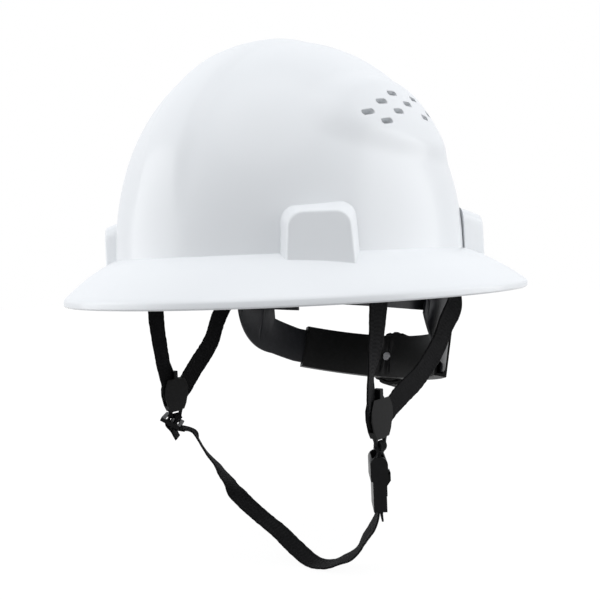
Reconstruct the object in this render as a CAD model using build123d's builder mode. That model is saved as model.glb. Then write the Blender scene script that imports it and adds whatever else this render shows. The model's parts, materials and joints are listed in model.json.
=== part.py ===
from build123d import *
import os
from math import cos, pi, radians, sin, sqrt, tan

# A full brim hard hat with its suspension, ratchet nape strap and chin strap.
# Millimetres. The hat faces -Y, +X is the wearer's left and +Z is up.
# The origin is the middle of the head opening, level with the brim's lower edge.

os.makedirs("parts", exist_ok=True)

# Shell
wall = 2.4
rim_half_width = 140.0
rim_half_length = 160.0
rim_setback = 6.0
rim_lip_height = 4.0
rim_lip_wall = 2.6
crease_height = 26.0
dome_half_width = 102.5
dome_half_length = 123.5
dome_height = 134.5
dome_bulge_share = 0.584
brim_curve_shares = ((0.0, 1.0), (0.3, 0.79), (0.65, 0.44), (1.0, 0.0))
brim_thickness = 2.95
overrun = 12.0

# Crown ridge and vented side panels of the shell
ridge_half_width = 20.0
ridge_rise = 1.6
ridge_inset = 1.0
ridge_bulge_share = 0.61
panel_rise = 3.2
panel_half_length = 60.0
panel_half_height = 25.0
panel_setback = 6.0
panel_level = 106.0
panel_pitch = 29.0
panel_bevel = 5.0
vent_length = 10.5
vent_width = 5.4
vent_slant = 24.0
vent_rise = 7.1
vent_pitch = 15.0
vent_depth = 34.0
vent_rows = ((-36.0, -4.0, 3), (-24.5, -10.2, 4), (23.0, -2.2, 3))

# Raised pockets that take the suspension keys
pocket_angles = {"front_left": 45.0, "front_right": -45.0, "rear_left": 135.0, "rear_right": -135.0}
boss_face = 121.5
boss_depth = 15.0
boss_half_width = 18.0
boss_top_narrowing = 2.2
boss_draft = 5.2
boss_rise = 21.0
boss_sink = 9.0
boss_corner = 6.0
pocket_width = 31.0
pocket_thickness = 5.5
pocket_headroom = 4.0

# Keys
key_clearance = 0.3
key_width = pocket_width - 2 * key_clearance
key_tab = pocket_thickness - 2 * key_clearance
key_foot_level = 13.0
key_foot = 3.6
key_leg = 3.4
key_leg_face = 100.0
key_leg_height = 34.0
key_leg_width = 22.0
key_tab_headroom = 1.0
key_window_height = 3.4
key_window_drop = 5.6
key_arm_width = 7.0
key_arm = 2.6
key_arm_drop = 9.0
key_reaches = {"front": 86.1, "rear": 98.3}
key_stud_width = 6.6
key_stud_height = 3.4
key_stud_head = 6.2
key_stud_lip = 1.6
key_stud_shoulder = 5.4

# Headband and brow pad
band_half_width = 75.5
band_half_front = 96.0
band_thickness = 1.5
band_side_end = 50.0
band_bend_radius = 25.0
band_bend = 45.0
band_tail = 10.0
band_brow_level = 19.0
band_end_level = -3.5
band_brow_height = 34.0
band_end_height = 28.0
band_window_clearance = 0.5
pad_gap = 0.3
pad_thickness = 4.0
pad_height = 30.0
pad_back = -18.0

# Crown straps
strap_width = 19.0
strap_thickness = 1.2
strap_crown_level = 121.0
strap_layer_gap = 0.6
strap_tail = 12.0

# Ratchet nape strap, laid out on a circle about a leaning axis
nape_tilt = 18.0
nape_centre_setback = 30.5
nape_centre_level = -30.7
sleeve_outer_radius = 85.0
sleeve_cover = 2.7
sleeve_inner_wall = 1.6
sleeve_half_height = 16.0
sleeve_rail = 2.0
sleeve_half_turn = 50.0
layer_clearance = 0.4
arm_thickness = 1.6
arm_half_height = 13.0
arm_front_turn = 98.5
arm_rack_turn = 15.0
arm_travel = 6.0
lug_top = 44.0
lug_rear_share = 0.235
arm_corner_shares = ((2.2, -0.81), (0.75, -0.49), (-0.32, 0.31), (-0.9, 1.08))
arm_neck_shares = ((2.0, 1.27), (3.5, 1.0))
stud_turn = 88.0
stud_level = 34.0
stud_diameter = 4.6
stud_clearance = 0.2
stud_head_diameter = 8.6
stud_head = 1.4
stud_boss_diameter = 8.0
stud_boss_gap = 0.4

# Rack and pinion
rack_pitch = 3.6
pinion_teeth = 8
pinion_radius = rack_pitch * pinion_teeth / (2 * pi)
tooth_tip = 1.0
tooth_root = 1.35
tooth_thickness = 1.35
tooth_flank = 22.0
rack_teeth = 9
rack_slot_low = 6.3
pinion_clearance = 0.2
shaft_radius = 4.0
shaft_fit = 0.08
shaft_square = 5.2
square_fit = 0.05
shaft_square_length = 6.0

# Knob, detent and screw
knob_radius = 21.0
knob_height = 12.0
knob_gap = 0.6
knob_wall = 2.4
knob_cavity = 3.2
knob_hub_radius = 6.6
knob_flutes = 18
knob_flute_radius = 2.4
knob_flute_bite = 0.9
knob_dish_radius = 13.0
knob_dish = 1.6
knob_edge = 1.2
detent_outer_radius = 17.4
detent_inner_radius = 15.4
detent_rise = 2.6
detent_teeth = 36
detent_tooth = 0.8
detent_sink = 2.6
pawl_thickness = 1.1
pawl_ring_width = 2.6
pawl_fit = 0.1
pawl_arm_radius = 12.6
pawl_arm = 1.3
pawl_arm_turn = 75.0
pawl_spoke = 3.0
pawl_tip_gap = 0.2
screw_radius = 1.35
screw_fit = 0.05
screw_head_radius = 3.1
screw_head = 1.9
screw_length = 16.5
screw_slot_width = 1.0
screw_slot_depth = 0.8
screw_hole_gap = 0.5

# Chin strap webbing and its anchors
web_width = 15.0
web_thickness = 1.2
anchor_front = -41.0
anchor_rear = 46.0
anchor_width = 20.0
anchor_height = 21.0
anchor_thickness = 2.4
anchor_level = 25.0
anchor_wall_gap = 1.6
anchor_corner = 3.0
peg_width = 8.0
peg_height = 3.2
peg_reach = 7.2
peg_lip = 1.4
peg_lip_rise = 1.0
peg_clearance = 0.4
slot_height = 3.4
slot_margin = 2.6
slot_clearance = 0.7
anchor_peg_drop = 6.5
fold_route = (
    (-22, 0.8),
    (-13.2, 0.8),
    (-11.7, 0.85),
    (-10.5, 1.6),
    (-10.0, 2.8),
    (-10.5, 4.05),
    (-11.7, 4.85),
    (-13.2, 4.9),
    (-18, 5.3),
)
gathered_share = 0.4
route_front_left = (
    ((89.2, -42, -5), (0.2, -0.98, 0), 1),
    ((87.2, -46.5, -44), (0.25, -0.97, 0), 1),
    ((85.0, -47.8, -58), (0, -0.97, -0.1), 1),
    ((84.25, -42.4, -68), (0, -0.92, -0.35), 0.9),
    ((84.25, -38, -74), (0, -1, 0), 0.62),
)
route_rear_left = (
    ((88.4, 49, -9), (-0.15, -0.98, -0.15), 1),
    ((88.0, 27, -34), (-0.1, -0.8, 0.62), 1),
    ((87.0, 5, -50), (0, -0.6, 0.8), 1),
    ((86.2, -15, -58.5), (0, -0.5, 0.86), 1),
    ((85.75, -28, -65.5), (0, -0.75, 0.66), 0.9),
    ((85.75, -35, -72), (0, -0.95, 0.3), 0.66),
)
route_front_right = (
    ((-89.2, -42, -5), (-0.2, -0.98, 0), 1),
    ((-87.6, -45.5, -44), (-0.1, -0.99, 0), 1),
    ((-85.0, -47.8, -58), (0, -0.97, -0.1), 1),
    ((-84.25, -42.4, -68), (0, -0.92, -0.35), 0.9),
    ((-84.25, -38, -74), (0, -1, 0), 0.62),
)
route_rear_right = (
    ((-88.6, 32, -6), (0.1, -0.8, 0.6), 1),
    ((-90, 17, -19), (0, -0.85, 0.5), 1),
    ((-89.5, 9, -36), (0, -0.93, 0.36), 1),
    ((-87.6, -6, -53), (0, -0.66, 0.75), 1),
    ((-86.2, -19, -61.5), (0, -0.6, 0.8), 1),
    ((-85.75, -28, -67), (0, -0.75, 0.66), 0.88),
    ((-85.75, -35, -72), (0, -0.95, 0.3), 0.66),
)
neck_route = (
    (-0.75, -88.4, 0.75),
    (-0.8, -87.3, 0.35),
    (-2.0, -84.9, 0),
    (-2.0, -83.2, 0),
    (-1.45, -81.9, 0),
    (0, -81.6, 0),
    (1.45, -81.9, 0),
    (2.0, -83.2, 0),
    (2.0, -84.9, 0),
    (0.8, -87.3, 0.35),
    (0.75, -89.6, 1),
    (2.2, -92.0, 1),
    (2.3, -93.4, 1),
    (1.6, -94.9, 1),
    (0, -95.6, 1),
    (-1.6, -94.9, 1),
    (-2.3, -93.4, 1),
    (-2.2, -92.0, 1),
    (-0.8, -89.6, 1),
    (-0.75, -88.95, 0.85),
)
chin_loop_route = (
    (1.1, -124.0),
    (0.9, -119.4),
    (1.8, -116.6),
    (1.8, -114.6),
    (1.27, -113.3),
    (0, -112.8),
    (-1.27, -113.3),
    (-1.8, -114.6),
    (-1.8, -116.6),
    (-0.9, -119.4),
)
chin_route = (
    ((83.2, -41, -124.8), (0.62, -0.79, 0)),
    ((81.2, -40, -130.9), (0.62, -0.79, 0)),
    ((76.6, -40, -138.6), (0.6, -0.8, 0)),
    ((67.1, -40, -147.9), (0.5, -0.86, 0)),
    ((56.2, -40, -154.8), (0.35, -0.94, 0)),
    ((46.4, -40, -159.3), (0.18, -0.98, 0)),
    ((36.3, -40, -160.2), (0.05, -1, 0)),
    ((24.9, -40, -155.6), (0, -1, 0)),
    ((10.5, -40, -147.0), (0, -1, 0)),
    ((-7.2, -40, -138.7), (0, -1, 0)),
    ((-24.2, -40, -129.2), (0, -1, 0)),
    ((-34.8, -38.7, -121.2), (0.15, -0.98, 0)),
    ((-46.8, -35.1, -113.3), (0.3, -0.95, 0)),
    ((-60.1, -32.8, -105.3), (0.5, -0.86, 0)),
    ((-72.2, -32.1, -95.9), (0.62, -0.79, 0)),
)
adjuster_route = (
    (8.4, -93.4, 1),
    (3.4, -92.0, 1),
    (0.6, -91.8, 1),
    (-1.1, -90.2, 1),
    (0.0, -88.1, 1),
    (1.1, -86.4, 0.6),
    (2.0, -84.9, 0),
    (2.0, -83.2, 0),
    (1.45, -81.9, 0),
    (0, -81.6, 0),
    (-1.6, -82.0, 0),
    (-3.2, -82.7, 0.4),
    (-4.6, -83.9, 1),
    (-5.2, -85.1, 1),
    (-6.0, -86.8, 1),
    (-5.6, -88.8, 1),
    (-2.9, -92.0, 1),
    (0.6, -98.8, 1),
)

# Dividers
divider_offset = 85.0
divider_setback = -37.0
divider_levels = {"top": -57.0, "open": -75.0, "eye": -79.0, "window": -80.0, "bar": -82.6, "bottom": -84.4}
divider_outline_shares = ((-8, -57), (-10.5, -63), (-10.5, -68), (-8.5, -75), (-5.5, -80.4), (-4.2, -84.4))
divider_thickness = 4.6
divider_shell = 0.8
divider_nub_level = -51.5
divider_nub = 3.4
divider_spine_level = -60.0
divider_side = 1.4
divider_eye = 2.0
divider_window = 6.8

# Buckle
buckle_place = (85.0, -40.0)
buckle_turn = 38.0
buckle_width = 20.0
buckle_window = 16.4
buckle_levels = {"top": -87.5, "notch": -97.0, "split": -101.0, "low_notch": -111.5, "bottom": -118.0}
buckle_upper_thickness = 9.7
buckle_lower_thickness = 7.4
buckle_corner = 4.3
buckle_notch = 7.4
buckle_low_notch = 5.6
buckle_bar = 1.3
buckle_bar_level = -93.4
buckle_low_bar = 0.9
buckle_low_bar_level = -114.6
tongue_thickness = 2.6
tongue_width = 11.0
tongue_length = 8.5
tongue_clearance = 0.3
tab_width = 9.0
tab_clearance = 0.4
tab_back = 3.1
tab_thickness = 1.4
tab_foot_level = -110.8
tab_recess_back = 2.0
tab_wing_reach = 6.6
tab_wing_levels = (-97.6, -102.0, -105.0)
tab_wing_top = -99.8
tab_relief_level = -97.2
tab_relief = 2.6
tab_pin = 0.6
tab_pin_fit = 0.06
tab_pin_place = (2.75, -109.6)
tab_pin_length = 12.4

# Adjuster under the right divider
adjuster_middle = (-2.6, -86.6)
adjuster_slope = -30.0
adjuster_length = 14.4
adjuster_width = 20.0
adjuster_thickness = 2.6
adjuster_bar = 2.4
adjuster_window = 16.4
adjuster_corner = 1.0


def write(piece, name):
    piece.part.label = name
    export_step(piece.part, f"parts/{name}.step")


def dome_blank(half_width, half_length, height, foot):
    """A dome on an oval foot, longer front to back than it is wide."""
    with BuildPart() as blank:
        with BuildSketch(Plane.XZ):
            with BuildLine():
                Bezier(
                    (half_width, foot),
                    (half_width, foot + height * dome_bulge_share),
                    (half_width * dome_bulge_share, foot + height),
                    (0, foot + height),
                )
                Polyline((0, foot + height), (0, foot), (half_width, foot))
            make_face()
        revolve(axis=Axis.Z)
        scale(by=(1, half_length / half_width, 1))
    return blank.part


def brim_blank(rim_inset, crease_inset, drop):
    """The solid under one face of the brim, from the rim up to the crease."""
    low_width = rim_half_width - rim_inset
    low_length = rim_half_length - rim_inset
    top_width = dome_half_width - crease_inset
    top_length = dome_half_length - crease_inset
    with BuildPart() as blank:
        with BuildSketch(Plane.XY):
            with Locations((0, rim_setback)):
                Ellipse(low_width, low_length)
        extrude(amount=rim_lip_height - drop)
        for out_share, up_share in brim_curve_shares:
            level = rim_lip_height + (crease_height - rim_lip_height) * up_share - drop
            with BuildSketch(Plane.XY.offset(level)):
                with Locations((0, rim_setback * out_share)):
                    Ellipse(
                        top_width + (low_width - top_width) * out_share,
                        top_length + (low_length - top_length) * out_share,
                    )
        loft()
    return blank.part


def facing_plane(angle, distance, level=0.0):
    """A plane that faces outwards at an angle from the front, with its Y axis up."""
    turn = radians(angle)
    out = Vector(sin(turn), -cos(turn), 0)
    return Plane(origin=out * distance + Vector(0, 0, level), x_dir=(cos(turn), sin(turn), 0), z_dir=out)


def side_plane(angle, offset=0.0):
    """A plane through the axis of the hat: X runs outwards at the angle, Y is up."""
    turn = radians(angle)
    out = Vector(sin(turn), -cos(turn), 0)
    normal = Vector(-cos(turn), -sin(turn), 0)
    return Plane(origin=normal * offset, x_dir=out, z_dir=normal)


def panel_plane(side, distance):
    """A plane that faces out of a vented side panel, with its X axis to the back."""
    pitch = radians(panel_pitch)
    out = Vector(side * cos(pitch), 0, sin(pitch))
    middle = Vector(side * dome_half_width * panel_share, panel_setback, panel_level)
    return Plane(origin=middle + out * distance, x_dir=(0, 1, 0), z_dir=out)


def anchor_plane(side, place, inset):
    """A plane facing out through the wall beside a strap anchor, with its Y axis up."""
    across = dome_half_width - wall
    along = dome_half_length - wall
    half = across * sqrt(1 - (place / along) ** 2)
    out = Vector(side * half / across**2, place / along**2, 0).normalized()
    return Plane(
        origin=Vector(side * half, place, anchor_level) - out * inset,
        x_dir=(-out.Y, out.X, 0),
        z_dir=out,
    )


panel_share = sqrt(1 - ((panel_level - crease_height) / dome_height) ** 2)
anchor_places = {"front": anchor_front, "rear": anchor_rear}
sides = {"left": 1, "right": -1}

# Shell: the outside and the head space are made apart, then skinned together
boss_top = crease_height + boss_rise
pocket_outer = boss_face - wall
pocket_inner = pocket_outer - pocket_thickness
pocket_middle = (pocket_outer + pocket_inner) / 2
pocket_top = boss_top - pocket_headroom
ridge_length = dome_half_length - ridge_inset
ridge_height = dome_height + ridge_rise

panel_dome = dome_blank(
    dome_half_width + panel_rise, dome_half_length + panel_rise, dome_height + panel_rise, crease_height
)
panel_blanks = []
for side in sides.values():
    with BuildPart() as panel_blank:
        for distance, spread in ((overrun, -panel_bevel), (-vent_depth, panel_bevel)):
            with BuildSketch(panel_plane(side, distance)):
                Ellipse(panel_half_length + spread, panel_half_height + spread)
        loft()
        add(panel_dome, mode=Mode.INTERSECT)
    panel_blanks.append(panel_blank.part)

outer_brim = brim_blank(0, 0, 0)
outer_dome = dome_blank(dome_half_width, dome_half_length, dome_height, crease_height)
with BuildPart() as outside:
    add(outer_brim)
    add(outer_dome)
    for angle in pocket_angles.values():
        for distance, spread in ((boss_face, 0), (boss_face - boss_depth, boss_draft)):
            with BuildSketch(facing_plane(angle, distance)) as boss:
                low = crease_height - boss_sink
                high = boss_top + spread
                wide = boss_half_width + spread
                narrow = wide - boss_top_narrowing
                with BuildLine():
                    Polyline((-wide, low), (wide, low), (narrow, high), (-narrow, high), close=True)
                make_face()
                fillet(boss.vertices().group_by(Axis.Y)[-1], boss_corner + spread)
        loft()
    with BuildSketch(Plane.YZ.offset(-ridge_half_width)):
        with BuildLine():
            for end in (-1, 1):
                Bezier(
                    (end * ridge_length, crease_height),
                    (end * ridge_length, crease_height + ridge_height * ridge_bulge_share),
                    (end * dome_half_length * ridge_bulge_share, crease_height + ridge_height),
                    (0, crease_height + ridge_height),
                )
            Line((-ridge_length, crease_height), (ridge_length, crease_height))
        make_face()
    extrude(amount=2 * ridge_half_width)
    for panel in panel_blanks:
        add(panel)

inner_brim = brim_blank(rim_lip_wall, wall, brim_thickness)
inner_dome = dome_blank(
    dome_half_width - wall,
    dome_half_length - wall,
    dome_height + brim_thickness - wall,
    crease_height - brim_thickness,
)
with BuildPart() as head_space:
    add(inner_brim)
    add(inner_dome)
    with BuildSketch(Plane.XY.offset(pocket_top)):
        for angle in pocket_angles.values():
            turn = radians(angle)
            with Locations(Location((pocket_middle * sin(turn), -pocket_middle * cos(turn)), angle)):
                Rectangle(pocket_width, pocket_thickness)
    extrude(amount=-(pocket_top - rim_lip_height))
    for side in sides.values():
        for place in anchor_places.values():
            with BuildSketch(anchor_plane(side, place, peg_reach)):
                Rectangle(peg_width, peg_height)
            extrude(amount=peg_reach + wall / 2, mode=Mode.SUBTRACT)
            with BuildSketch(anchor_plane(side, place, peg_reach)):
                with Locations((0, peg_lip_rise)):
                    Rectangle(peg_width, peg_height)
            extrude(amount=peg_lip, mode=Mode.SUBTRACT)

with BuildSketch() as rim:
    with Locations((0, rim_setback)):
        Ellipse(rim_half_width, rim_half_length)
        Ellipse(rim_half_width - rim_lip_wall, rim_half_length - rim_lip_wall, mode=Mode.SUBTRACT)

skin = rim.sketch.faces()
for blank in (outside, head_space):
    skin += blank.part.faces().sort_by(Axis.Z)[1:]
shell_wall = Solid(Shell(skin))

with BuildPart() as vents:
    for side in sides.values():
        with BuildSketch(panel_plane(side, overrun)):
            for first, level, count in vent_rows:
                for step in range(count):
                    along = first + vent_pitch * step - panel_setback
                    up = level + vent_rise * step
                    with Locations(Location((along, side * up), side * vent_slant)):
                        SlotOverall(vent_length, vent_width)
        extrude(amount=-(overrun + vent_depth))

with BuildPart() as shell:
    add(shell_wall)
    add(vents.part, mode=Mode.SUBTRACT)

write(shell, "shell")


def band_plan(inset):
    """Plan of the space inside the headband's face, closed behind by its bent tails."""
    half = band_half_width - inset
    bend = band_bend_radius - inset
    turn = radians(band_bend)
    corner = (half - bend * (1 - cos(turn)), band_side_end + bend * sin(turn))
    with BuildSketch() as plan:
        with BuildLine():
            EllipticalCenterArc((0, 0), half, band_half_front - inset, start_angle=180, arc_size=180)
            for side in (1, -1):
                Line((side * half, 0), (side * half, band_side_end))
                middle = (side * (half - bend * (1 - cos(turn / 2))), band_side_end + bend * sin(turn / 2))
                ThreePointArc((side * half, band_side_end), middle, (side * corner[0], corner[1]))
                Line((side * corner[0], corner[1]), (0, corner[1] + corner[0] / tan(turn)))
        make_face()
    return plan.sketch


def band_level(setback):
    """Height of the headband's middle at a distance behind the hat's middle."""
    share = (setback + band_half_front) / (band_end + band_half_front)
    return band_brow_level + (band_end_level - band_brow_level) * share


band_opening = band_half_width - band_bend_radius * (1 - cos(radians(band_bend))) - band_tail * sin(radians(band_bend))
band_end = band_side_end + (band_bend_radius + band_tail) * sin(radians(band_bend))


def band_side(height_share):
    """Side view of the headband, deeper at the brow than at the back."""
    brow = band_brow_height * height_share / 2
    back = band_end_height * height_share / 2
    front_level = band_level(-band_half_front - overrun)
    back_level = band_level(band_end + overrun)
    with BuildSketch(Plane.YZ.offset(-band_half_width - overrun)) as side_view:
        with BuildLine():
            Polyline(
                (-band_half_front - overrun, front_level - brow),
                (band_end + overrun, back_level - back),
                (band_end + overrun, back_level + back),
                (-band_half_front - overrun, front_level + brow),
                close=True,
            )
        make_face()
    return side_view.sketch


# The nape strap is laid out on a leaning circle: X to the left, Y to the back
lean = radians(nape_tilt)
nape = Plane(
    origin=(0, nape_centre_setback, nape_centre_level), x_dir=(1, 0, 0), z_dir=(0, sin(lean), cos(lean))
)
nape_side = Plane(origin=nape.origin, x_dir=nape.y_dir, z_dir=(1, 0, 0))
arm_inner = {
    "right": sleeve_outer_radius - sleeve_cover - 2 * arm_thickness - 2 * layer_clearance,
    "left": sleeve_outer_radius - sleeve_cover - arm_thickness - layer_clearance,
}
stud_middle = (arm_inner["right"] * cos(radians(stud_turn)), stud_level)
stud_place = nape_side.from_local_coords(Vector(stud_middle[0], stud_middle[1], 0))
cover_face = sleeve_outer_radius - sleeve_cover
inner_cover_face = arm_inner["right"] - layer_clearance


def back_plane(distance):
    """A plane across the knob's axis that faces backwards, with its Y axis up the strap."""
    return Plane(origin=nape.origin + nape.y_dir * distance, x_dir=(-1, 0, 0), z_dir=nape.y_dir)


stud_window_level = key_foot_level - key_arm_drop + key_stud_height

# Headband, with windows for the keys' studs and holes for the temple studs
with BuildPart() as headband:
    with BuildSketch(Plane.XY.offset(-band_brow_height)):
        add(band_plan(0))
        add(band_plan(band_thickness), mode=Mode.SUBTRACT)
        with Locations((0, band_side_end + band_half_width)):
            Rectangle(2 * band_opening, 2 * (band_half_width - band_bend_radius / 2), mode=Mode.SUBTRACT)
    extrude(amount=3 * band_brow_height)
    extrude(band_side(1), amount=2 * (band_half_width + overrun), mode=Mode.INTERSECT)
    for name, angle in pocket_angles.items():
        reach = key_reaches[name.split("_")[0]]
        with BuildSketch(facing_plane(angle, reach, stud_window_level)):
            Rectangle(key_stud_width + 2 * band_window_clearance, key_stud_height + 2 * band_window_clearance)
        extrude(amount=-overrun, mode=Mode.SUBTRACT)
    with BuildSketch(Plane(origin=stud_place, z_dir=(1, 0, 0))):
        Circle(stud_diameter / 2 + stud_clearance)
    extrude(amount=band_half_width + overrun, both=True, mode=Mode.SUBTRACT)

write(headband, "headband")

# Brow pad, hollowed behind the heads of the keys' studs
with BuildPart() as brow_pad:
    with BuildSketch(Plane.XY.offset(-band_brow_height)):
        add(band_plan(band_thickness + pad_gap))
        add(band_plan(band_thickness + pad_gap + pad_thickness), mode=Mode.SUBTRACT)
        with Locations((0, pad_back + band_half_front)):
            Rectangle(2 * band_half_front, 2 * band_half_front, mode=Mode.SUBTRACT)
    extrude(amount=3 * band_brow_height)
    extrude(band_side(pad_height / band_brow_height), amount=2 * (band_half_width + overrun), mode=Mode.INTERSECT)
    for name in ("front_left", "front_right"):
        with BuildSketch(facing_plane(pocket_angles[name], key_reaches["front"], stud_window_level)):
            Rectangle(2 * key_stud_head, 2 * key_stud_head)
        extrude(amount=-(key_stud_shoulder + key_stud_lip + 2 * pad_gap), mode=Mode.SUBTRACT)

write(brow_pad, "brow_pad")

# Keys that plug into the raised pockets and carry the straps and the headband
window_top = key_foot_level + key_leg_height - key_window_drop
window_level = window_top - key_window_height / 2
for name, angle in pocket_angles.items():
    reach = key_reaches[name.split("_")[0]]
    tab_outer = pocket_outer - key_clearance
    tab_inner = tab_outer - key_tab
    with BuildPart() as key:
        with BuildSketch(side_plane(angle, -key_width / 2)):
            with BuildLine():
                Polyline(
                    (key_leg_face, key_foot_level),
                    (tab_outer, key_foot_level),
                    (tab_outer, pocket_top - key_tab_headroom),
                    (tab_inner, pocket_top - key_tab_headroom),
                    (tab_inner, key_foot_level + key_foot),
                    (key_leg_face, key_foot_level + key_foot),
                    close=True,
                )
            make_face()
        extrude(amount=key_width)
        with BuildSketch(side_plane(angle, -key_leg_width / 2)):
            with BuildLine():
                Polyline(
                    (key_leg_face, key_foot_level),
                    (key_leg_face + key_leg, key_foot_level),
                    (key_leg_face + key_leg, key_foot_level + key_leg_height),
                    (key_leg_face, key_foot_level + key_leg_height),
                    close=True,
                )
            make_face()
        extrude(amount=key_leg_width)
        with BuildSketch(side_plane(angle, -key_arm_width / 2)):
            with BuildLine():
                Polyline(
                    (reach, key_foot_level - key_arm_drop),
                    (reach + key_arm, key_foot_level - key_arm_drop),
                    (reach + key_arm, key_foot_level),
                    (key_leg_face + key_arm, key_foot_level),
                    (key_leg_face + key_arm, key_foot_level + key_arm),
                    (reach, key_foot_level + key_arm),
                    close=True,
                )
            make_face()
        extrude(amount=key_arm_width)
        with BuildSketch(facing_plane(angle, reach, stud_window_level)):
            Rectangle(key_stud_width, key_stud_height)
        extrude(amount=-key_stud_shoulder - key_stud_lip)
        with BuildSketch(facing_plane(angle, reach - key_stud_shoulder, stud_window_level)):
            Rectangle(key_stud_width, key_stud_head)
        extrude(amount=-key_stud_lip)
        with BuildSketch(facing_plane(angle, key_leg_face, window_level)):
            Rectangle(strap_width + 2 * key_clearance, key_window_height)
        extrude(amount=key_leg, mode=Mode.SUBTRACT)
    write(key, f"key_{name}")

# Crown straps, threaded out through the keys' windows and folded down
strap_face = key_leg_face + key_leg + key_clearance + strap_thickness / 2
for layer, (name, angle) in enumerate({"crown_strap_lower": 45.0, "crown_strap_upper": -45.0}.items()):
    crown = strap_crown_level + layer * (strap_thickness + strap_layer_gap)
    fold = strap_face - key_leg_face
    with BuildPart() as crown_strap:
        with BuildLine(side_plane(angle)) as route:
            ends = {}
            for end in (1, -1):
                tail = (end * strap_face, window_level - strap_tail)
                bend = (end * strap_face, window_level - strap_thickness)
                inside = (end * (strap_face - strap_thickness), window_level)
                Line(tail, bend)
                TangentArc(bend, inside, tangent=(0, 1))
                through = (end * (key_leg_face - strap_thickness), window_level)
                Line(inside, through)
                Bezier(
                    through,
                    (end * (key_leg_face - overrun / 2), window_level),
                    (end * key_leg_face, window_level + (crown - window_level) * dome_bulge_share),
                    (end * key_leg_face * dome_bulge_share, crown),
                    (0, crown),
                )
        start = side_plane(angle).from_local_coords(Vector(strap_face, window_level - strap_tail, 0))
        with BuildSketch(Plane(origin=start, x_dir=side_plane(angle).x_dir, z_dir=(0, 0, 1))):
            Rectangle(strap_thickness, strap_width)
        sweep(path=route.line)
    write(crown_strap, name)


# Temple studs that carry the nape arms on the headband
with BuildPart() as temple_studs:
    for name, side in sides.items():
        face = sqrt(arm_inner[name] ** 2 - (stud_middle[0] + stud_boss_diameter / 2) ** 2)
        head = arm_inner[name] + arm_thickness + stud_boss_gap
        inside_face = band_half_width - band_thickness
        for start, end, diameter in (
            (inside_face - stud_head, inside_face, stud_boss_diameter),
            (inside_face, head, stud_diameter),
            (band_half_width, face - stud_boss_gap, stud_boss_diameter),
            (head, head + stud_head, stud_head_diameter),
        ):
            with BuildSketch(Plane(origin=stud_place + Vector(side * start, 0, 0), z_dir=(side, 0, 0))):
                Circle(diameter / 2)
            extrude(amount=end - start)

write(temple_studs, "temple_studs")


def sector(inner, outer, middle, half_turn):
    """A ring sector about the nape circle's middle, its angle counted from the left."""
    with BuildSketch(nape) as ring:
        with BuildLine():
            arc = CenterArc((0, 0), outer, middle - half_turn, 2 * half_turn)
            low = CenterArc((0, 0), inner, middle - half_turn, 2 * half_turn)
            Line(arc @ 0, low @ 0)
            Line(arc @ 1, low @ 1)
        make_face()
    return ring.sketch


def rack_window(radius, toothed):
    """Window of an arm round the pinion, with rack teeth along its upper or lower side."""
    reach = rack_teeth * rack_pitch / 2
    root_level = pinion_radius + tooth_root
    tip_level = pinion_radius - tooth_tip
    slope = tan(radians(tooth_flank))
    with BuildSketch(back_plane(cover_face)) as window:
        with BuildLine():
            Polyline(
                (-reach, -toothed * rack_slot_low),
                (reach, -toothed * rack_slot_low),
                (reach, toothed * root_level),
                (-reach, toothed * root_level),
                close=True,
            )
        make_face()
        for tooth in range(1 - (rack_teeth + 1) // 2, (rack_teeth + 1) // 2):
            middle = radius * sin(tooth * rack_pitch / radius)
            wide = tooth_thickness / 2 + tooth_root * slope
            narrow = tooth_thickness / 2 - tooth_tip * slope
            with BuildLine():
                Polyline(
                    (middle - wide, toothed * root_level),
                    (middle + wide, toothed * root_level),
                    (middle + narrow, toothed * tip_level),
                    (middle - narrow, toothed * tip_level),
                    close=True,
                )
            make_face(mode=Mode.SUBTRACT)
    return window.sketch


# Nape arms: a flat band with its rack inside the sleeve and a tall lug at the temple
arm_middle_turn = (arm_front_turn - arm_rack_turn) / 2
arm_half_turn = (arm_front_turn + arm_rack_turn) / 2
lug_rear = lug_rear_share * arm_inner["right"]
for name, side in sides.items():
    radius = arm_inner[name]
    corner = [(across * arm_half_height, up * arm_half_height) for across, up in arm_corner_shares]
    neck = [(across * arm_half_height, up * arm_half_height) for across, up in arm_neck_shares]
    back = sleeve_outer_radius + overrun
    with BuildPart() as nape_arm:
        blank = sector(radius, radius + arm_thickness, 90 - side * arm_middle_turn, arm_half_turn)
        extrude(blank, amount=lug_top)
        extrude(blank, amount=-arm_half_height)
        with BuildSketch(nape_side):
            with BuildLine():
                Polyline((back, -arm_half_height), (neck[1][0], -arm_half_height), corner[0])
                Spline(*corner)
                Polyline(
                    corner[-1],
                    (corner[-1][0], lug_top),
                    (lug_rear, lug_top),
                    neck[0],
                    neck[1],
                    (back, arm_half_height),
                    (back, -arm_half_height),
                )
            make_face()
        extrude(amount=back, both=True, mode=Mode.INTERSECT)
        with BuildSketch(nape_side):
            with Locations(stud_middle):
                SlotOverall(
                    2 * arm_travel + 2 * rack_pitch + stud_diameter - stud_clearance,
                    stud_diameter + 2 * layer_clearance - stud_clearance,
                )
        extrude(amount=side * back, mode=Mode.SUBTRACT)
        window = rack_window(radius + arm_thickness / 2, -side)
        extrude(window, amount=arm_inner["right"] - cover_face - 2 * arm_thickness, mode=Mode.SUBTRACT)
    write(nape_arm, f"nape_arm_{name}")

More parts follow.
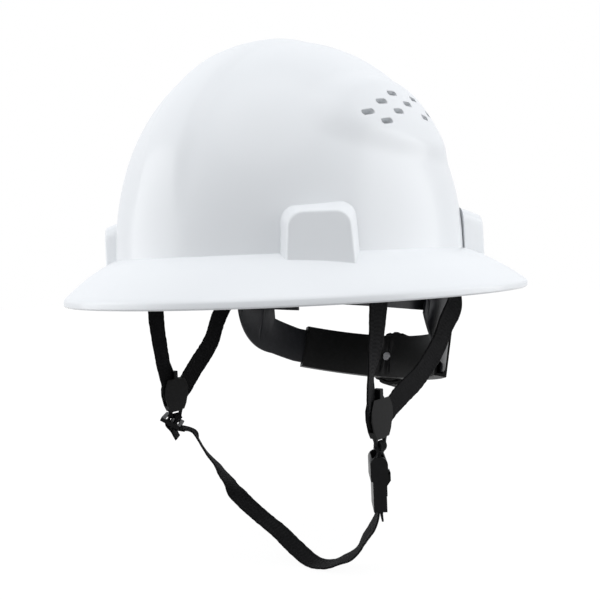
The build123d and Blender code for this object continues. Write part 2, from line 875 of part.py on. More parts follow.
# Ratchet sleeve: an outer cover with rails and a toothed detent ring, and an inner cover
with BuildPart() as sleeve_outer_cover:
    plate = sector(cover_face, sleeve_outer_radius, 90, sleeve_half_turn)
    extrude(plate, amount=sleeve_half_height, both=True)
    rail = sector(inner_cover_face, sleeve_outer_radius, 90, sleeve_half_turn)
    for end in (-1, 1):
        placed = Pos(nape.z_dir * end * (sleeve_half_height - sleeve_rail / 2)) * rail
        extrude(placed, amount=sleeve_rail / 2, both=True)
    with BuildSketch(back_plane(sleeve_outer_radius - detent_sink)):
        Circle(detent_outer_radius)
        with BuildLine():
            corners = []
            for step in range(2 * detent_teeth):
                turn = pi * step / detent_teeth
                inward = detent_inner_radius - detent_tooth * (step % 2)
                corners.append((inward * cos(turn), inward * sin(turn)))
            Polyline(*corners, close=True)
        make_face(mode=Mode.SUBTRACT)
    extrude(amount=detent_sink + detent_rise)
    with BuildSketch(back_plane(inner_cover_face)):
        Circle(shaft_radius + shaft_fit)
    extrude(amount=sleeve_outer_radius, mode=Mode.SUBTRACT)

write(sleeve_outer_cover, "sleeve_outer_cover")

with BuildPart() as sleeve_inner_cover:
    plate = sector(inner_cover_face - sleeve_inner_wall, inner_cover_face, 90, sleeve_half_turn)
    extrude(plate, amount=sleeve_half_height, both=True)
    with BuildSketch(back_plane(inner_cover_face - overrun)):
        Circle(screw_head_radius + screw_hole_gap)
    extrude(amount=2 * overrun, mode=Mode.SUBTRACT)

write(sleeve_inner_cover, "sleeve_inner_cover")

# Pinion on its shaft, with a square end for the knob
pinion_low = arm_inner["right"] - pinion_clearance
pinion_high = cover_face - layer_clearance
knob_base = sleeve_outer_radius + knob_gap
with BuildPart() as ratchet_pinion:
    with BuildSketch(back_plane(pinion_low)):
        Circle(pinion_radius - tooth_root)
        for tooth in range(pinion_teeth):
            turn = 2 * pi * (tooth + 1 / 2) / pinion_teeth
            slope = tan(radians(tooth_flank))
            outline = []
            for radius, way in ((-tooth_root, -1), (tooth_tip, -1), (tooth_tip, 1), (-tooth_root, 1)):
                half = tooth_thickness / 2 - radius * slope
                reach = pinion_radius + radius
                outline.append((reach * cos(turn) - way * half * sin(turn), reach * sin(turn) + way * half * cos(turn)))
            with BuildLine():
                Polyline((0, 0), *outline, close=True)
            make_face()
    extrude(amount=pinion_high - pinion_low)
    with BuildSketch(back_plane(pinion_high)):
        Circle(shaft_radius)
    extrude(amount=knob_base - pinion_high)
    with BuildSketch(back_plane(knob_base)):
        Rectangle(shaft_square, shaft_square)
    extrude(amount=shaft_square_length)
    with BuildSketch(back_plane(pinion_low)):
        Circle(screw_radius + screw_fit)
    extrude(amount=knob_height + knob_base - pinion_low, mode=Mode.SUBTRACT)

write(ratchet_pinion, "ratchet_pinion")

# Ratchet knob
with BuildPart() as ratchet_knob:
    with BuildSketch(back_plane(knob_base)):
        Circle(knob_radius)
    extrude(amount=knob_height)
    outer_edge = ratchet_knob.edges().filter_by(GeomType.CIRCLE).sort_by(Axis(nape.origin, nape.y_dir))[-1]
    chamfer(outer_edge, knob_edge)
    with BuildSketch(back_plane(knob_base)):
        with PolarLocations(knob_radius + knob_flute_radius - knob_flute_bite, knob_flutes):
            Circle(knob_flute_radius)
    extrude(amount=knob_height, mode=Mode.SUBTRACT)
    with BuildSketch(back_plane(knob_base + knob_height - knob_dish)):
        Circle(knob_dish_radius)
    extrude(amount=knob_dish, mode=Mode.SUBTRACT)
    with BuildSketch(back_plane(knob_base)):
        Circle(knob_radius - knob_wall)
        Circle(knob_hub_radius, mode=Mode.SUBTRACT)
    extrude(amount=knob_cavity, mode=Mode.SUBTRACT)
    with BuildSketch(back_plane(knob_base)):
        Rectangle(shaft_square + 2 * square_fit, shaft_square + 2 * square_fit)
    extrude(amount=shaft_square_length + key_clearance, mode=Mode.SUBTRACT)
    with BuildSketch(back_plane(knob_base)):
        Circle(screw_radius + screw_fit)
    extrude(amount=pinion_low + screw_length - knob_base + square_fit, mode=Mode.SUBTRACT)

write(ratchet_knob, "ratchet_knob")

# Detent pawl spring on the knob's hub
with BuildPart() as pawl_spring:
    with BuildSketch(back_plane(knob_base + knob_gap)):
        Circle(knob_hub_radius + pawl_fit + pawl_ring_width)
        for start in (0, 180):
            first = radians(start)
            with BuildLine():
                outer = CenterArc((0, 0), pawl_arm_radius + pawl_arm / 2, start, pawl_arm_turn)
                inner = CenterArc((0, 0), pawl_arm_radius - pawl_arm / 2, start, pawl_arm_turn)
                tip_reach = detent_inner_radius - detent_tooth - pawl_tip_gap
                tip_turn = radians(start + pawl_arm_turn)
                tip = (tip_reach * cos(tip_turn), tip_reach * sin(tip_turn))
                Line(outer @ 0, inner @ 0)
                Line(outer @ 1, tip)
                Line(tip, inner @ 1)
            make_face()
            with Locations(Location((pawl_arm_radius / 2 * cos(first), pawl_arm_radius / 2 * sin(first)), start)):
                Rectangle(pawl_arm_radius, pawl_spoke)
        Circle(knob_hub_radius + pawl_fit, mode=Mode.SUBTRACT)
    extrude(amount=pawl_thickness)

write(pawl_spring, "pawl_spring")

# Knob screw, driven from inside the strap
with BuildPart() as knob_screw:
    with BuildSketch(back_plane(pinion_low)):
        Circle(screw_radius)
    extrude(amount=screw_length)
    with BuildSketch(back_plane(pinion_low)):
        Circle(screw_head_radius)
    extrude(amount=-screw_head)
    with BuildSketch(back_plane(pinion_low - screw_head)):
        Rectangle(2 * screw_head_radius, screw_slot_width)
    extrude(amount=screw_slot_depth, mode=Mode.SUBTRACT)

write(knob_screw, "knob_screw")


def webbing(stations):
    """A flat strap lofted through stations: a place, the way it is wide, and its share of full width."""
    places = [Vector(*place) for place, _, _ in stations]
    with BuildPart() as strap:
        for index, (_, wide, share) in enumerate(stations):
            along = places[min(index + 1, len(places) - 1)] - places[max(index - 1, 0)]
            with BuildSketch(Plane(origin=places[index], x_dir=wide, z_dir=along)):
                Rectangle(web_width * share, web_thickness)
        loft(ruled=True)
    return strap.part


def gather(share):
    """Webbing is gathered in a divider's eye and flat at the other end of its twist."""
    return gathered_share + (1 - gathered_share) * share


# Strap anchors on the shell's pegs, and the upper webbings folded through them
routes = {
    "front_left": route_front_left,
    "rear_left": route_rear_left,
    "front_right": route_front_right,
    "rear_right": route_rear_right,
}
for name, route in routes.items():
    end, side_name = name.split("_")
    side = sides[side_name]
    place = anchor_places[end]
    face = anchor_plane(side, place, anchor_wall_gap + anchor_thickness)
    drop = anchor_height / 2 - anchor_peg_drop
    with BuildPart() as anchor:
        with BuildSketch(face):
            with Locations((0, -drop)):
                RectangleRounded(anchor_width, anchor_height, anchor_corner)
            with Locations((0, peg_lip_rise / 2)):
                Rectangle(
                    peg_width + 2 * peg_clearance, peg_height + peg_lip_rise + 2 * peg_clearance, mode=Mode.SUBTRACT
                )
            with Locations((0, -drop - anchor_height / 2 + slot_margin + slot_height / 2)):
                Rectangle(web_width + 2 * slot_clearance, slot_height, mode=Mode.SUBTRACT)
        extrude(amount=anchor_thickness)
    write(anchor, f"strap_anchor_{name}")
    stations = []
    for up, inset in fold_route:
        local = anchor_plane(side, place, inset)
        wide = local.x_dir * (-1 if local.x_dir.Y > 0 else 1)
        stations.append((tuple(local.origin + Vector(0, 0, up)), tuple(wide), 1))
    with BuildPart() as upper_webbing:
        add(webbing(stations + list(route)))
    write(upper_webbing, f"webbing_{name}")

# Strap dividers: two leaf shaped plates with a spine between the webbings and an eye below
leaf = [(across, up) for across, up in divider_outline_shares]
for name, side in sides.items():
    flat = Plane(origin=(side * divider_offset, divider_setback, 0), x_dir=(0, 1, 0), z_dir=(1, 0, 0))
    with BuildPart() as divider:
        with BuildSketch(flat) as outline:
            with BuildLine():
                Polyline(*leaf, *[(-across, up) for across, up in reversed(leaf)], close=True)
            make_face()
        extrude(amount=divider_thickness / 2, both=True)
        with BuildSketch(flat):
            with BuildLine():
                low = divider_outline_shares[-2][0] + divider_side
                high = divider_outline_shares[-3][0] + divider_side
                Polyline(
                    (low, divider_levels["eye"]),
                    (high, divider_levels["open"]),
                    (-overrun, divider_levels["open"]),
                    (-overrun, divider_nub_level + overrun),
                    (overrun, divider_nub_level + overrun),
                    (overrun, divider_levels["open"]),
                    (-high, divider_levels["open"]),
                    (-low, divider_levels["eye"]),
                    close=True,
                )
            make_face()
        extrude(amount=divider_thickness / 2 - divider_shell, both=True, mode=Mode.SUBTRACT)
        with BuildSketch(flat):
            with Locations((0, (divider_nub_level + divider_spine_level) / 2)):
                Rectangle(divider_nub, divider_nub_level - divider_spine_level)
        extrude(amount=divider_thickness / 2, both=True)
        for way in (-1, 1):
            with BuildSketch(flat.offset(way * divider_eye / 2)):
                with Locations((0, divider_levels["eye"] - overrun)):
                    Rectangle(2 * overrun, 2 * overrun)
            extrude(amount=way * divider_thickness, mode=Mode.SUBTRACT)
        with BuildSketch(flat):
            with Locations((0, (divider_levels["window"] + divider_levels["bar"]) / 2)):
                Rectangle(divider_window, divider_levels["window"] - divider_levels["bar"])
        extrude(amount=divider_thickness, both=True, mode=Mode.SUBTRACT)
    write(divider, f"divider_{name}")

# Neck webbing, a closed loop from the left divider's eye to the buckle's upper bar
stations = []
for across, up, share in neck_route:
    turn = radians(buckle_turn * share)
    middle = Vector(divider_offset, divider_setback + (buckle_place[1] - divider_setback) * share, up)
    out = Vector(cos(turn), sin(turn), 0)
    stations.append((tuple(middle + out * across), (sin(turn), -cos(turn), 0), gather(share)))
with BuildPart() as neck_webbing:
    add(webbing(stations))

write(neck_webbing, "neck_webbing")

# Buckle, seen from its edge: X runs outwards through its thickness, Y is up
buckle_angle = radians(buckle_turn)
buckle_out = Vector(cos(buckle_angle), sin(buckle_angle), 0)
buckle_wide = Vector(sin(buckle_angle), -cos(buckle_angle), 0)
buckle_plane = Plane(origin=(*buckle_place, 0), x_dir=buckle_out, z_dir=buckle_wide)


def buckle_block(left, right, low, high, width):
    """A block of the buckle across its middle, from its lowest to its highest level."""
    with BuildPart() as block:
        with BuildSketch(buckle_plane):
            with Locations(((left + right) / 2, (low + high) / 2)):
                Rectangle(right - left, high - low)
        extrude(amount=width / 2, both=True)
    return block.part


top = buckle_levels["top"]
split = buckle_levels["split"]
upper = buckle_upper_thickness / 2
lower = buckle_lower_thickness / 2
relief_width = tab_width + 2 * tab_clearance
with BuildPart() as buckle_upper:
    with BuildSketch(buckle_plane) as profile:
        with Locations((0, (top + split) / 2)):
            Rectangle(2 * upper, top - split)
        fillet(profile.vertices().group_by(Axis.Y)[-1], buckle_corner)
    extrude(amount=buckle_width / 2, both=True)
    notch = buckle_notch / 2
    add(buckle_block(-notch, notch, buckle_levels["notch"], top + overrun, buckle_window), mode=Mode.SUBTRACT)
    relief = upper - tab_relief
    add(buckle_block(relief, upper + overrun, split - overrun, tab_relief_level, relief_width), mode=Mode.SUBTRACT)
    with BuildSketch(buckle_plane):
        with Locations((0, buckle_bar_level)):
            Circle(buckle_bar)
    extrude(amount=buckle_width / 2, both=True)
    tongue = tongue_thickness / 2
    add(buckle_block(-tongue, tongue, split - tongue_length, split, tongue_width))

write(buckle_upper, "buckle_upper")

with BuildPart() as buckle_lower:
    bottom = buckle_levels["bottom"]
    add(buckle_block(-lower, lower, bottom, split, buckle_width))
    notch = buckle_low_notch / 2
    add(buckle_block(-notch, notch, bottom - overrun, buckle_levels["low_notch"], buckle_window), mode=Mode.SUBTRACT)
    socket = tongue_thickness / 2 + tongue_clearance
    socket_width = tongue_width + 2 * tongue_clearance
    socket_floor = split - tongue_length - tongue_clearance
    add(buckle_block(-socket, socket, socket_floor, split, socket_width), mode=Mode.SUBTRACT)
    recess_floor = tab_foot_level - tab_clearance
    add(buckle_block(tab_recess_back, lower + overrun, recess_floor, split, relief_width), mode=Mode.SUBTRACT)
    with BuildSketch(buckle_plane):
        with Locations(tab_pin_place):
            Circle(tab_pin + tab_pin_fit)
    extrude(amount=tab_pin_length / 2 + tab_pin_fit, both=True, mode=Mode.SUBTRACT)
    with BuildSketch(buckle_plane):
        with Locations((0, buckle_low_bar_level)):
            Circle(buckle_low_bar)
    extrude(amount=buckle_width / 2, both=True)

write(buckle_lower, "buckle_lower")

# Release tab with its thumb wing, on a moulded pin
with BuildPart() as release_tab:
    tab_face = tab_back + tab_thickness
    with BuildSketch(buckle_plane):
        with BuildLine():
            Polyline(
                (tab_back, tab_foot_level),
                (tab_face, tab_foot_level),
                (tab_face, tab_wing_levels[2]),
                (tab_wing_reach, tab_wing_levels[1]),
                (tab_wing_reach, tab_wing_levels[0]),
                (tab_face, tab_wing_top),
                (tab_back, split),
                close=True,
            )
        make_face()
    extrude(amount=tab_width / 2, both=True)
    with BuildSketch(buckle_plane):
        with Locations(tab_pin_place):
            Circle(tab_pin)
    extrude(amount=tab_pin_length / 2, both=True)

write(release_tab, "release_tab")

# Adjuster: a plate with two slots, sloping down and out under the right divider
slope = radians(adjuster_slope)
adjuster_along = buckle_out * cos(slope) + Vector(0, 0, sin(slope))
adjuster_place = Vector(-divider_offset, divider_setback, adjuster_middle[1]) + buckle_out * adjuster_middle[0]
slot = (adjuster_length - 3 * adjuster_bar) / 2
with BuildPart() as adjuster:
    with BuildSketch(Plane(origin=adjuster_place, x_dir=adjuster_along, z_dir=adjuster_along.cross(buckle_wide))):
        RectangleRounded(adjuster_length, adjuster_width, adjuster_corner)
        for way in (-1, 1):
            with Locations((way * (adjuster_bar + slot) / 2, 0)):
                Rectangle(slot, adjuster_window, mode=Mode.SUBTRACT)
    extrude(amount=adjuster_thickness / 2, both=True)

write(adjuster, "adjuster")

# Chin webbing, from its loop on the buckle's lower bar to the adjuster and the right divider
stations = []
for across, up in chin_loop_route:
    middle = Vector(*buckle_place, up)
    stations.append((tuple(middle + buckle_out * across), tuple(buckle_wide), 1))
for place, wide in chin_route:
    stations.append((place, wide, 1))
for across, up, share in adjuster_route:
    turn = buckle_angle * share
    out = Vector(cos(turn), sin(turn), 0)
    middle = Vector(-divider_offset, divider_setback, up)
    stations.append((tuple(middle + out * across), (sin(turn), -cos(turn), 0), gather(share)))
with BuildPart() as chin_webbing:
    add(webbing(stations))

write(chin_webbing, "chin_webbing")
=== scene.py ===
import json
import math

import bmesh
import bpy
from bpy.props import FloatProperty, FloatVectorProperty, IntProperty, PointerProperty
from mathutils import Matrix, Vector, noise


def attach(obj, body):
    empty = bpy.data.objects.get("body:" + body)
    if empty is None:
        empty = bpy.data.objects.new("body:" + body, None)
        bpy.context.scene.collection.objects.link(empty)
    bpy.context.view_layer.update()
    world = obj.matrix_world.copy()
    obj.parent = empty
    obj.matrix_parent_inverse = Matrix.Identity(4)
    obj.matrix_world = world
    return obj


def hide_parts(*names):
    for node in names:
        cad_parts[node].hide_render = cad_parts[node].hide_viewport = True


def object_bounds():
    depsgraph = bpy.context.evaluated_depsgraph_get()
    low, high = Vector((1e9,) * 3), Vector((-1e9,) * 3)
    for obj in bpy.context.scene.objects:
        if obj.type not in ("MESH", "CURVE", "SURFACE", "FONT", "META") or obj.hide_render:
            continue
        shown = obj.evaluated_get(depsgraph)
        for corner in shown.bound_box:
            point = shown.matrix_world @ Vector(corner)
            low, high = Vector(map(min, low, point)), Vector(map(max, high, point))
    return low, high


bl_info = {
    "name": "Full Brim Hard Hat",
    "version": (1, 0, 0),
    "blender": (4, 5, 0),
    "location": "View3D > Sidebar > Hard Hat",
    "description": "A full brim hard hat with its suspension, nape strap and chin strap",
    "category": "Add Mesh",
}

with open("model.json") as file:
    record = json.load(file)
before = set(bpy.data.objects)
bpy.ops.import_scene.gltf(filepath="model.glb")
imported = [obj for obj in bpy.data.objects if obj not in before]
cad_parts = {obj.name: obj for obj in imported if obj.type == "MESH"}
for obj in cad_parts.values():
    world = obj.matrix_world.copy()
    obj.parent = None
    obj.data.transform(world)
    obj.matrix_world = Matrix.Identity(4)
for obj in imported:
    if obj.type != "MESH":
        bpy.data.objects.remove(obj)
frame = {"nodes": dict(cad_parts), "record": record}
cad_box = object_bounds()

SIDES = {"left": 1, "right": -1}

# In metres: a millimetre, and how near places are one in the meshes made here and in the CAD's
MM = 0.001
MERGE = 2e-6
WELD = 1e-5

# Shell, in millimetres and degrees. The rim and the dome are ellipses: half width, half length and,
# for the dome, its height. LIP_ROUND is in and down. RIDGE_EDGES are in from the ridge's half width and
# out of it, RIDGE_FADE is levels over the crease, and PANEL_EDGES are shares of PANEL_HALF. A vent row is
# its first vent's setback, its level from the panel's middle and its count. A peg is wide, high and deep
RIM = (140.0, 160.0)
RIM_SETBACK = 6.0
RIM_LIP = 4.0
RIM_ROUND = 0.7
LIP_ROUND = (0.35, 0.8)
RIM_WALL = 2.6
CREASE = 26.0
DOME = (102.5, 123.5, 134.5)
DOME_BULGE = 0.584
WALL = 2.4
BRIM_WALL = 2.95
BRIM_CURVE = ((0.0, 1.0), (0.3, 0.79), (0.65, 0.44), (1.0, 0.0))
BRIM_RINGS = 26
INSIDE_RINGS = (14, 48)
INSIDE_FOOT = -6.0
RIDGE_EDGES = (7.0, 5.0)
RIDGE_FADE = (12.0, 70.0)
BOSS_TURNS = (45.0, -45.0, 135.0, -135.0)
BOSS_FACE = 121.5
BOSS_DEPTH = 15.0
BOSS_DRAFT = 5.2
BOSS_HALF_WIDTH = 18.0
BOSS_NARROWING = 2.2
BOSS_LOW = 17.0
BOSS_TOP = 47.0
BOSS_CORNER = 7.5
BOSS_EDGE = 1.1
POCKET_DEPTHS = (113.6, 119.1)
POCKET_WIDTH = 31.0
POCKET_LEVELS = (14.0, 43.0)
PANEL_LEVEL = 106.0
PANEL_SETBACK = 6.0
PANEL_PITCH = 29.0
PANEL_HALF = (60.0, 25.0)
PANEL_EDGES = (0.8, 1.3)
PANEL_BACK = 30.0
VENT_ROWS = ((-36.0, -4.0, 3), (-24.5, -10.2, 4), (23.0, -2.2, 3))
VENT_STEP = (15.0, 7.1)
VENT_SLANT = 4.0
VENT_LENGTH = 9.5
VENT_WIDTH = 3.6
VENT_START = 12.0
VENT_DEPTH = 46.0
PEG = (8.0, 3.2, 9.6)
PEG_INSET = 2.4
PEG_CATCH = (8.0, 3.2, 1.4)
PEG_CATCH_INSET = 6.5
PEG_CATCH_LIFT = 1.0
SHELL_SHARP = 24.0

# Webbing, in millimetres: a place, the way it is wide and its share of full width. FOLD is up and in from
# the wall. NECK_ROUTE, CHIN_LOOP and ADJUSTER_ROUTE are across and up, with a share for how far the webbing
# has widened and turned to the buckle's way
GATHERED = 0.4
DIVIDER = (85.0, -37.0)
BUCKLE = (85.0, -40.0)
BUCKLE_TURN = 38.0
FOLD = (
    (-22, 0.8), (-13.2, 0.8), (-11.7, 0.85), (-10.5, 1.6), (-10.0, 2.8),
    (-10.5, 4.05), (-11.7, 4.85), (-13.2, 4.9), (-18, 5.3),
)
ANCHOR_PLACES = {"front": -41.0, "rear": 46.0}
ANCHOR_LEVEL = 25.0
UPPER_ROUTES = {
    "front_left": (
        ((90.0, -41.5, -5), (-0.1, -0.99, 0), 1),
        ((88.6, -43, -24), (0.02, -1, 0), 1),
        ((86.8, -47, -45), (0.38, -0.92, 0), 1),
        ((85.0, -44.2, -57), (0.3, -0.95, -0.1), 1),
        ((84.25, -40.8, -68), (0, -0.92, -0.35), 0.9),
        ((84.25, -38, -74), (0, -1, 0), 0.62),
    ),
    "rear_left": (
        ((88.4, 49, -9), (-0.15, -0.98, -0.15), 1),
        ((88.2, 37.5, -21.5), (-0.12, -0.92, 0.24), 1),
        ((88.0, 27, -34), (-0.1, -0.8, 0.62), 1),
        ((87.0, 5, -50), (0, -0.6, 0.8), 1),
        ((86.2, -15, -58.5), (0, -0.5, 0.86), 1),
        ((85.75, -28, -65.5), (0, -0.75, 0.66), 0.9),
        ((85.75, -35, -72), (0, -0.95, 0.3), 0.66),
    ),
    "front_right": (
        ((-92.3, -44, -5), (0.1, -0.99, 0), 1),
        ((-86.4, -45.2, -44), (0.2, -0.98, 0), 1),
        ((-84.8, -42.6, -57), (0.12, -0.97, -0.1), 1),
        ((-84.25, -40.8, -68), (0, -0.92, -0.35), 0.9),
        ((-84.25, -38, -74), (0, -1, 0), 0.62),
    ),
    "rear_right": (
        ((-89.0, 25, -6), (0.1, -0.88, 0.45), 1),
        ((-90.3, 14.5, -19), (0, -0.85, 0.5), 1),
        ((-90, 5, -36), (0, -0.93, 0.36), 1),
        ((-88.2, -14, -53), (0, -0.66, 0.75), 1),
        ((-86.4, -24, -61.5), (0, -0.6, 0.8), 1),
        ((-85.75, -29.5, -67), (0, -0.75, 0.66), 0.88),
        ((-85.75, -35, -72), (0, -0.95, 0.3), 0.66),
    ),
}
NECK_ROUTE = (
    (-0.75, -88.4, 0.75), (-0.8, -87.3, 0.35), (-2.0, -84.9, 0), (-2.0, -83.2, 0),
    (-1.45, -81.9, 0), (0, -81.6, 0), (1.45, -81.9, 0), (2.0, -83.2, 0), (2.0, -84.9, 0),
    (0.8, -87.3, 0.35), (0.75, -89.6, 1), (2.2, -92.0, 1), (2.3, -93.4, 1), (1.6, -94.9, 1),
    (0, -95.6, 1), (-1.6, -94.9, 1), (-2.3, -93.4, 1), (-2.2, -92.0, 1), (-0.8, -89.6, 1),
    (-0.75, -88.95, 0.85),
)
CHIN_LOOP = (
    (1.1, -124.0), (0.9, -119.4), (1.8, -116.6), (1.8, -114.6), (1.27, -113.3), (0, -112.8),
    (-1.27, -113.3), (-1.8, -114.6), (-1.8, -116.6), (-0.9, -119.4),
)
CHIN_ROUTE = (
    ((83.2, -41, -124.8), (0.62, -0.79, 0)),
    ((79.2, -40, -130.9), (0.62, -0.79, 0)),
    ((73.8, -40, -138.6), (0.6, -0.8, 0)),
    ((67.1, -40, -147.9), (0.5, -0.86, 0)),
    ((56.2, -40, -154.8), (0.35, -0.94, 0)),
    ((46.4, -40, -159.3), (0.18, -0.98, 0)),
    ((36.3, -40, -160.2), (0.05, -1, 0)),
    ((24.9, -40, -155.6), (0, -1, 0)),
    ((10.5, -40, -147.0), (0, -1, 0)),
    ((-7.2, -40, -138.7), (0, -1, 0)),
    ((-24.2, -40, -129.2), (0, -1, 0)),
    ((-34.4, -38.4, -121.4), (0.42, -0.9, 0.06)),
    ((-47.6, -35.1, -113.5), (0.6, -0.78, 0.15)),
    ((-61.6, -33.2, -105.0), (0.7, -0.69, 0.2)),
    ((-72.2, -32.1, -95.9), (0.7, -0.69, 0.2)),
)
ADJUSTER_ROUTE = (
    (8.4, -93.4, 1), (3.4, -92.0, 1), (0.6, -91.8, 1), (-1.1, -90.2, 1), (0.0, -88.1, 1),
    (1.1, -86.4, 0.6), (2.0, -84.9, 0), (2.0, -83.2, 0), (1.45, -81.9, 0), (0, -81.6, 0),
    (-1.6, -82.0, 0), (-3.2, -82.7, 0.4), (-4.6, -83.9, 1), (-5.2, -85.1, 1), (-6.0, -86.8, 1),
    (-5.6, -88.8, 1), (-2.9, -92.0, 1), (0.6, -98.8, 1),
)

# Section of the webbing, with thicker selvedges: shares of its half width and of its half thickness
WEB_SECTION = (
    (-1.0, 0.0), (-0.985, 0.62), (-0.93, 0.95), (-0.84, 0.95), (-0.76, 0.78), (-0.4, 0.86), (0.0, 0.88),
    (0.4, 0.86), (0.76, 0.78), (0.84, 0.95), (0.93, 0.95), (0.985, 0.62), (1.0, 0.0), (0.985, -0.62),
    (0.93, -0.95), (0.84, -0.95), (0.76, -0.78), (0.4, -0.86), (0.0, -0.88), (-0.4, -0.86), (-0.76, -0.78),
    (-0.84, -0.95), (-0.93, -0.95), (-0.985, -0.62),
)

# How far the webbing's edges stray, in millimetres, and how often its edges, lift and puff change in a metre
WANDER = 0.42
EDGE_RATE = 420
LIFT_RATE = 160
LIFT_SHARE = 0.5
LIFT_FLAT = 0.4
PUFF = 0.1
PUFF_RATE = 700
PUFF_ACROSS = 3
SEED_STEP = 7.3

# Crown straps, in millimetres: the turn of each, and its way up through the key and over the head
STRAP_TURNS = {"crown_strap_lower": 45.0, "crown_strap_upper": -45.0}
STRAP_FACE = 104.3
STRAP_WINDOW = 39.7
STRAP_TAIL = 12.0
STRAP_CROWN = 121.0
STRAP_LAYER = 1.8
STRAP_STEP = 3.0
STRAP_BENDS = 12
STRAP_WANDER = 0.1
STRAP_FOLD = ((0, -STRAP_TAIL), (0, -6.0), (0, -1.6), (-0.35, -0.4), (-1.5, 0))
KEY_FACE = 100.0
KEY_LEADS = (1.2, 6.0)

# Brow pad, in millimetres: its ellipse, and the levels and half heights of its front and of the band's end
PAD_HALF = (71.75, 92.25)
PAD_BACK = -18.0
PAD_FRONT = -96.0
BAND_END = 74.74
PAD_LEVELS = (19.0, -3.5)
PAD_TALL = (14.3, 11.5)
PAD_THICK = 1.85
PAD_ROUND = (0.5, 0.35)
PAD_SECTION = 20
PAD_STEPS = 150
PAD_CHANNELS = 12
PAD_CHANNEL = (0.22, 0.06)
PAD_TAPER = (0.6, 5)
PAD_END_TALL = 0.9

# Moulded plastics: the finish's name, its roughness, grains a metre, their relief and the shine
PLASTICS = {
    "suspension": ("suspension_smooth", 0.42, 1100.0, 0.08, 0.3),
    "sleeve": ("sleeve_matte", 0.5, 1400.0, 0.22, 0.2),
    "buckle": ("buckle_matte", 0.36, 1300.0, 0.1, 0.1),
}
EDGE_TURN = 40.0

# Photographed view: turn, height and roll of the camera in degrees, its distance and aim in millimetres
VIEW_TURN = 39.2
VIEW_HEIGHT = 3.0
VIEW_ROLL = -2.3
VIEW_DISTANCE = 519.9
VIEW_AIM = (0.7, -4.4)
VIEW_LENS = 47.12
VIEW_SENSOR = 36.0

# Stage: each lamp's place to the right, towards the camera and up in metres, its size and share of strength
LAMPS = {
    "side_lamp_left": ((-1.5, 0.1, 0.25), 1.6, 1.0),
    "side_lamp_right": ((1.5, 0.1, 0.25), 1.6, 1.0),
    "high_lamp": ((0, 0.6, 1.2), 1.4, 0.44),
}
DIM_WAY_DROP = 0.8
SURROUND = (0.95, 0.97, 1.0, 1)
FLOOR_GAP = 0.0005
FLOOR_SEEN = 0.7
FLOOR_WHITE = 1.34


class HatShellSizes(bpy.types.PropertyGroup):
    segments: IntProperty(
        name="Segments", description="Steps round the shell", default=300, min=48, max=480
    )
    dome_rings: IntProperty(
        name="Dome Rings", description="Steps from the crease to the crown", default=112, min=24, max=200
    )
    ridge_rise: FloatProperty(
        name="Ridge Rise", description="Height of the crown ridge", default=0.0016, unit="LENGTH"
    )
    ridge_half: FloatProperty(
        name="Ridge Half Width", description="Half of the crown ridge's width", default=0.019, unit="LENGTH"
    )
    panel_rise: FloatProperty(
        name="Panel Rise", description="Height of the vented panels", default=0.0029, unit="LENGTH"
    )
    color: FloatVectorProperty(
        name="Shell Colour", description="Moulded shell", subtype="COLOR", size=4,
        default=(0.865, 0.883, 0.9, 1),
    )
    roughness: FloatProperty(
        name="Shell Roughness", description="Gloss of the shell", default=0.3, min=0, max=1, subtype="FACTOR"
    )


class HatWebbingSizes(bpy.types.PropertyGroup):
    width: FloatProperty(name="Width", description="Width of the webbing", default=0.015, unit="LENGTH")
    thickness: FloatProperty(
        name="Thickness", description="Thickness of the webbing", default=0.0012, unit="LENGTH"
    )
    step: FloatProperty(
        name="Step", description="Length of one step along a webbing", default=0.0011, unit="LENGTH"
    )
    strap_width: FloatProperty(
        name="Crown Strap Width", description="Width of the crown straps", default=0.019, unit="LENGTH"
    )
    color: FloatVectorProperty(
        name="Webbing Colour", description="Chin webbing", subtype="COLOR", size=4,
        default=(0.0045, 0.0045, 0.005, 1),
    )
    strap_color: FloatVectorProperty(
        name="Crown Strap Colour", description="Crown straps", subtype="COLOR", size=4,
        default=(0.02, 0.02, 0.022, 1),
    )
    pad_color: FloatVectorProperty(
        name="Pad Colour", description="Brow pad", subtype="COLOR", size=4,
        default=(0.016, 0.016, 0.017, 1),
    )


class HatPlasticSizes(bpy.types.PropertyGroup):
    edge: FloatProperty(
        name="Edge", description="Rounding of the moulded edges", default=0.0003, unit="LENGTH"
    )
    suspension: FloatVectorProperty(
        name="Suspension Colour", description="Headband, keys and arms", subtype="COLOR", size=4,
        default=(0.0125, 0.013, 0.016, 1),
    )
    sleeve: FloatVectorProperty(
        name="Sleeve Colour", description="Ratchet sleeve and knob", subtype="COLOR", size=4,
        default=(0.0065, 0.0065, 0.0065, 1),
    )
    buckle: FloatVectorProperty(
        name="Buckle Colour", description="Buckle, dividers and adjuster", subtype="COLOR", size=4,
        default=(0.005, 0.005, 0.0053, 1),
    )


class HatStageSizes(bpy.types.PropertyGroup):
    floor: FloatProperty(name="Floor", description="Half width of the floor", default=3.0, unit="LENGTH")
    soft_light: FloatProperty(name="Soft Light", description="Strength of the side lamps", default=8.4, min=0)
    world: FloatProperty(name="Surround", description="Strength of the pale surround", default=0.08, min=0)
    sides: FloatProperty(
        name="Side Light", description="More light from every way but low at the front", default=0.84, min=0
    )


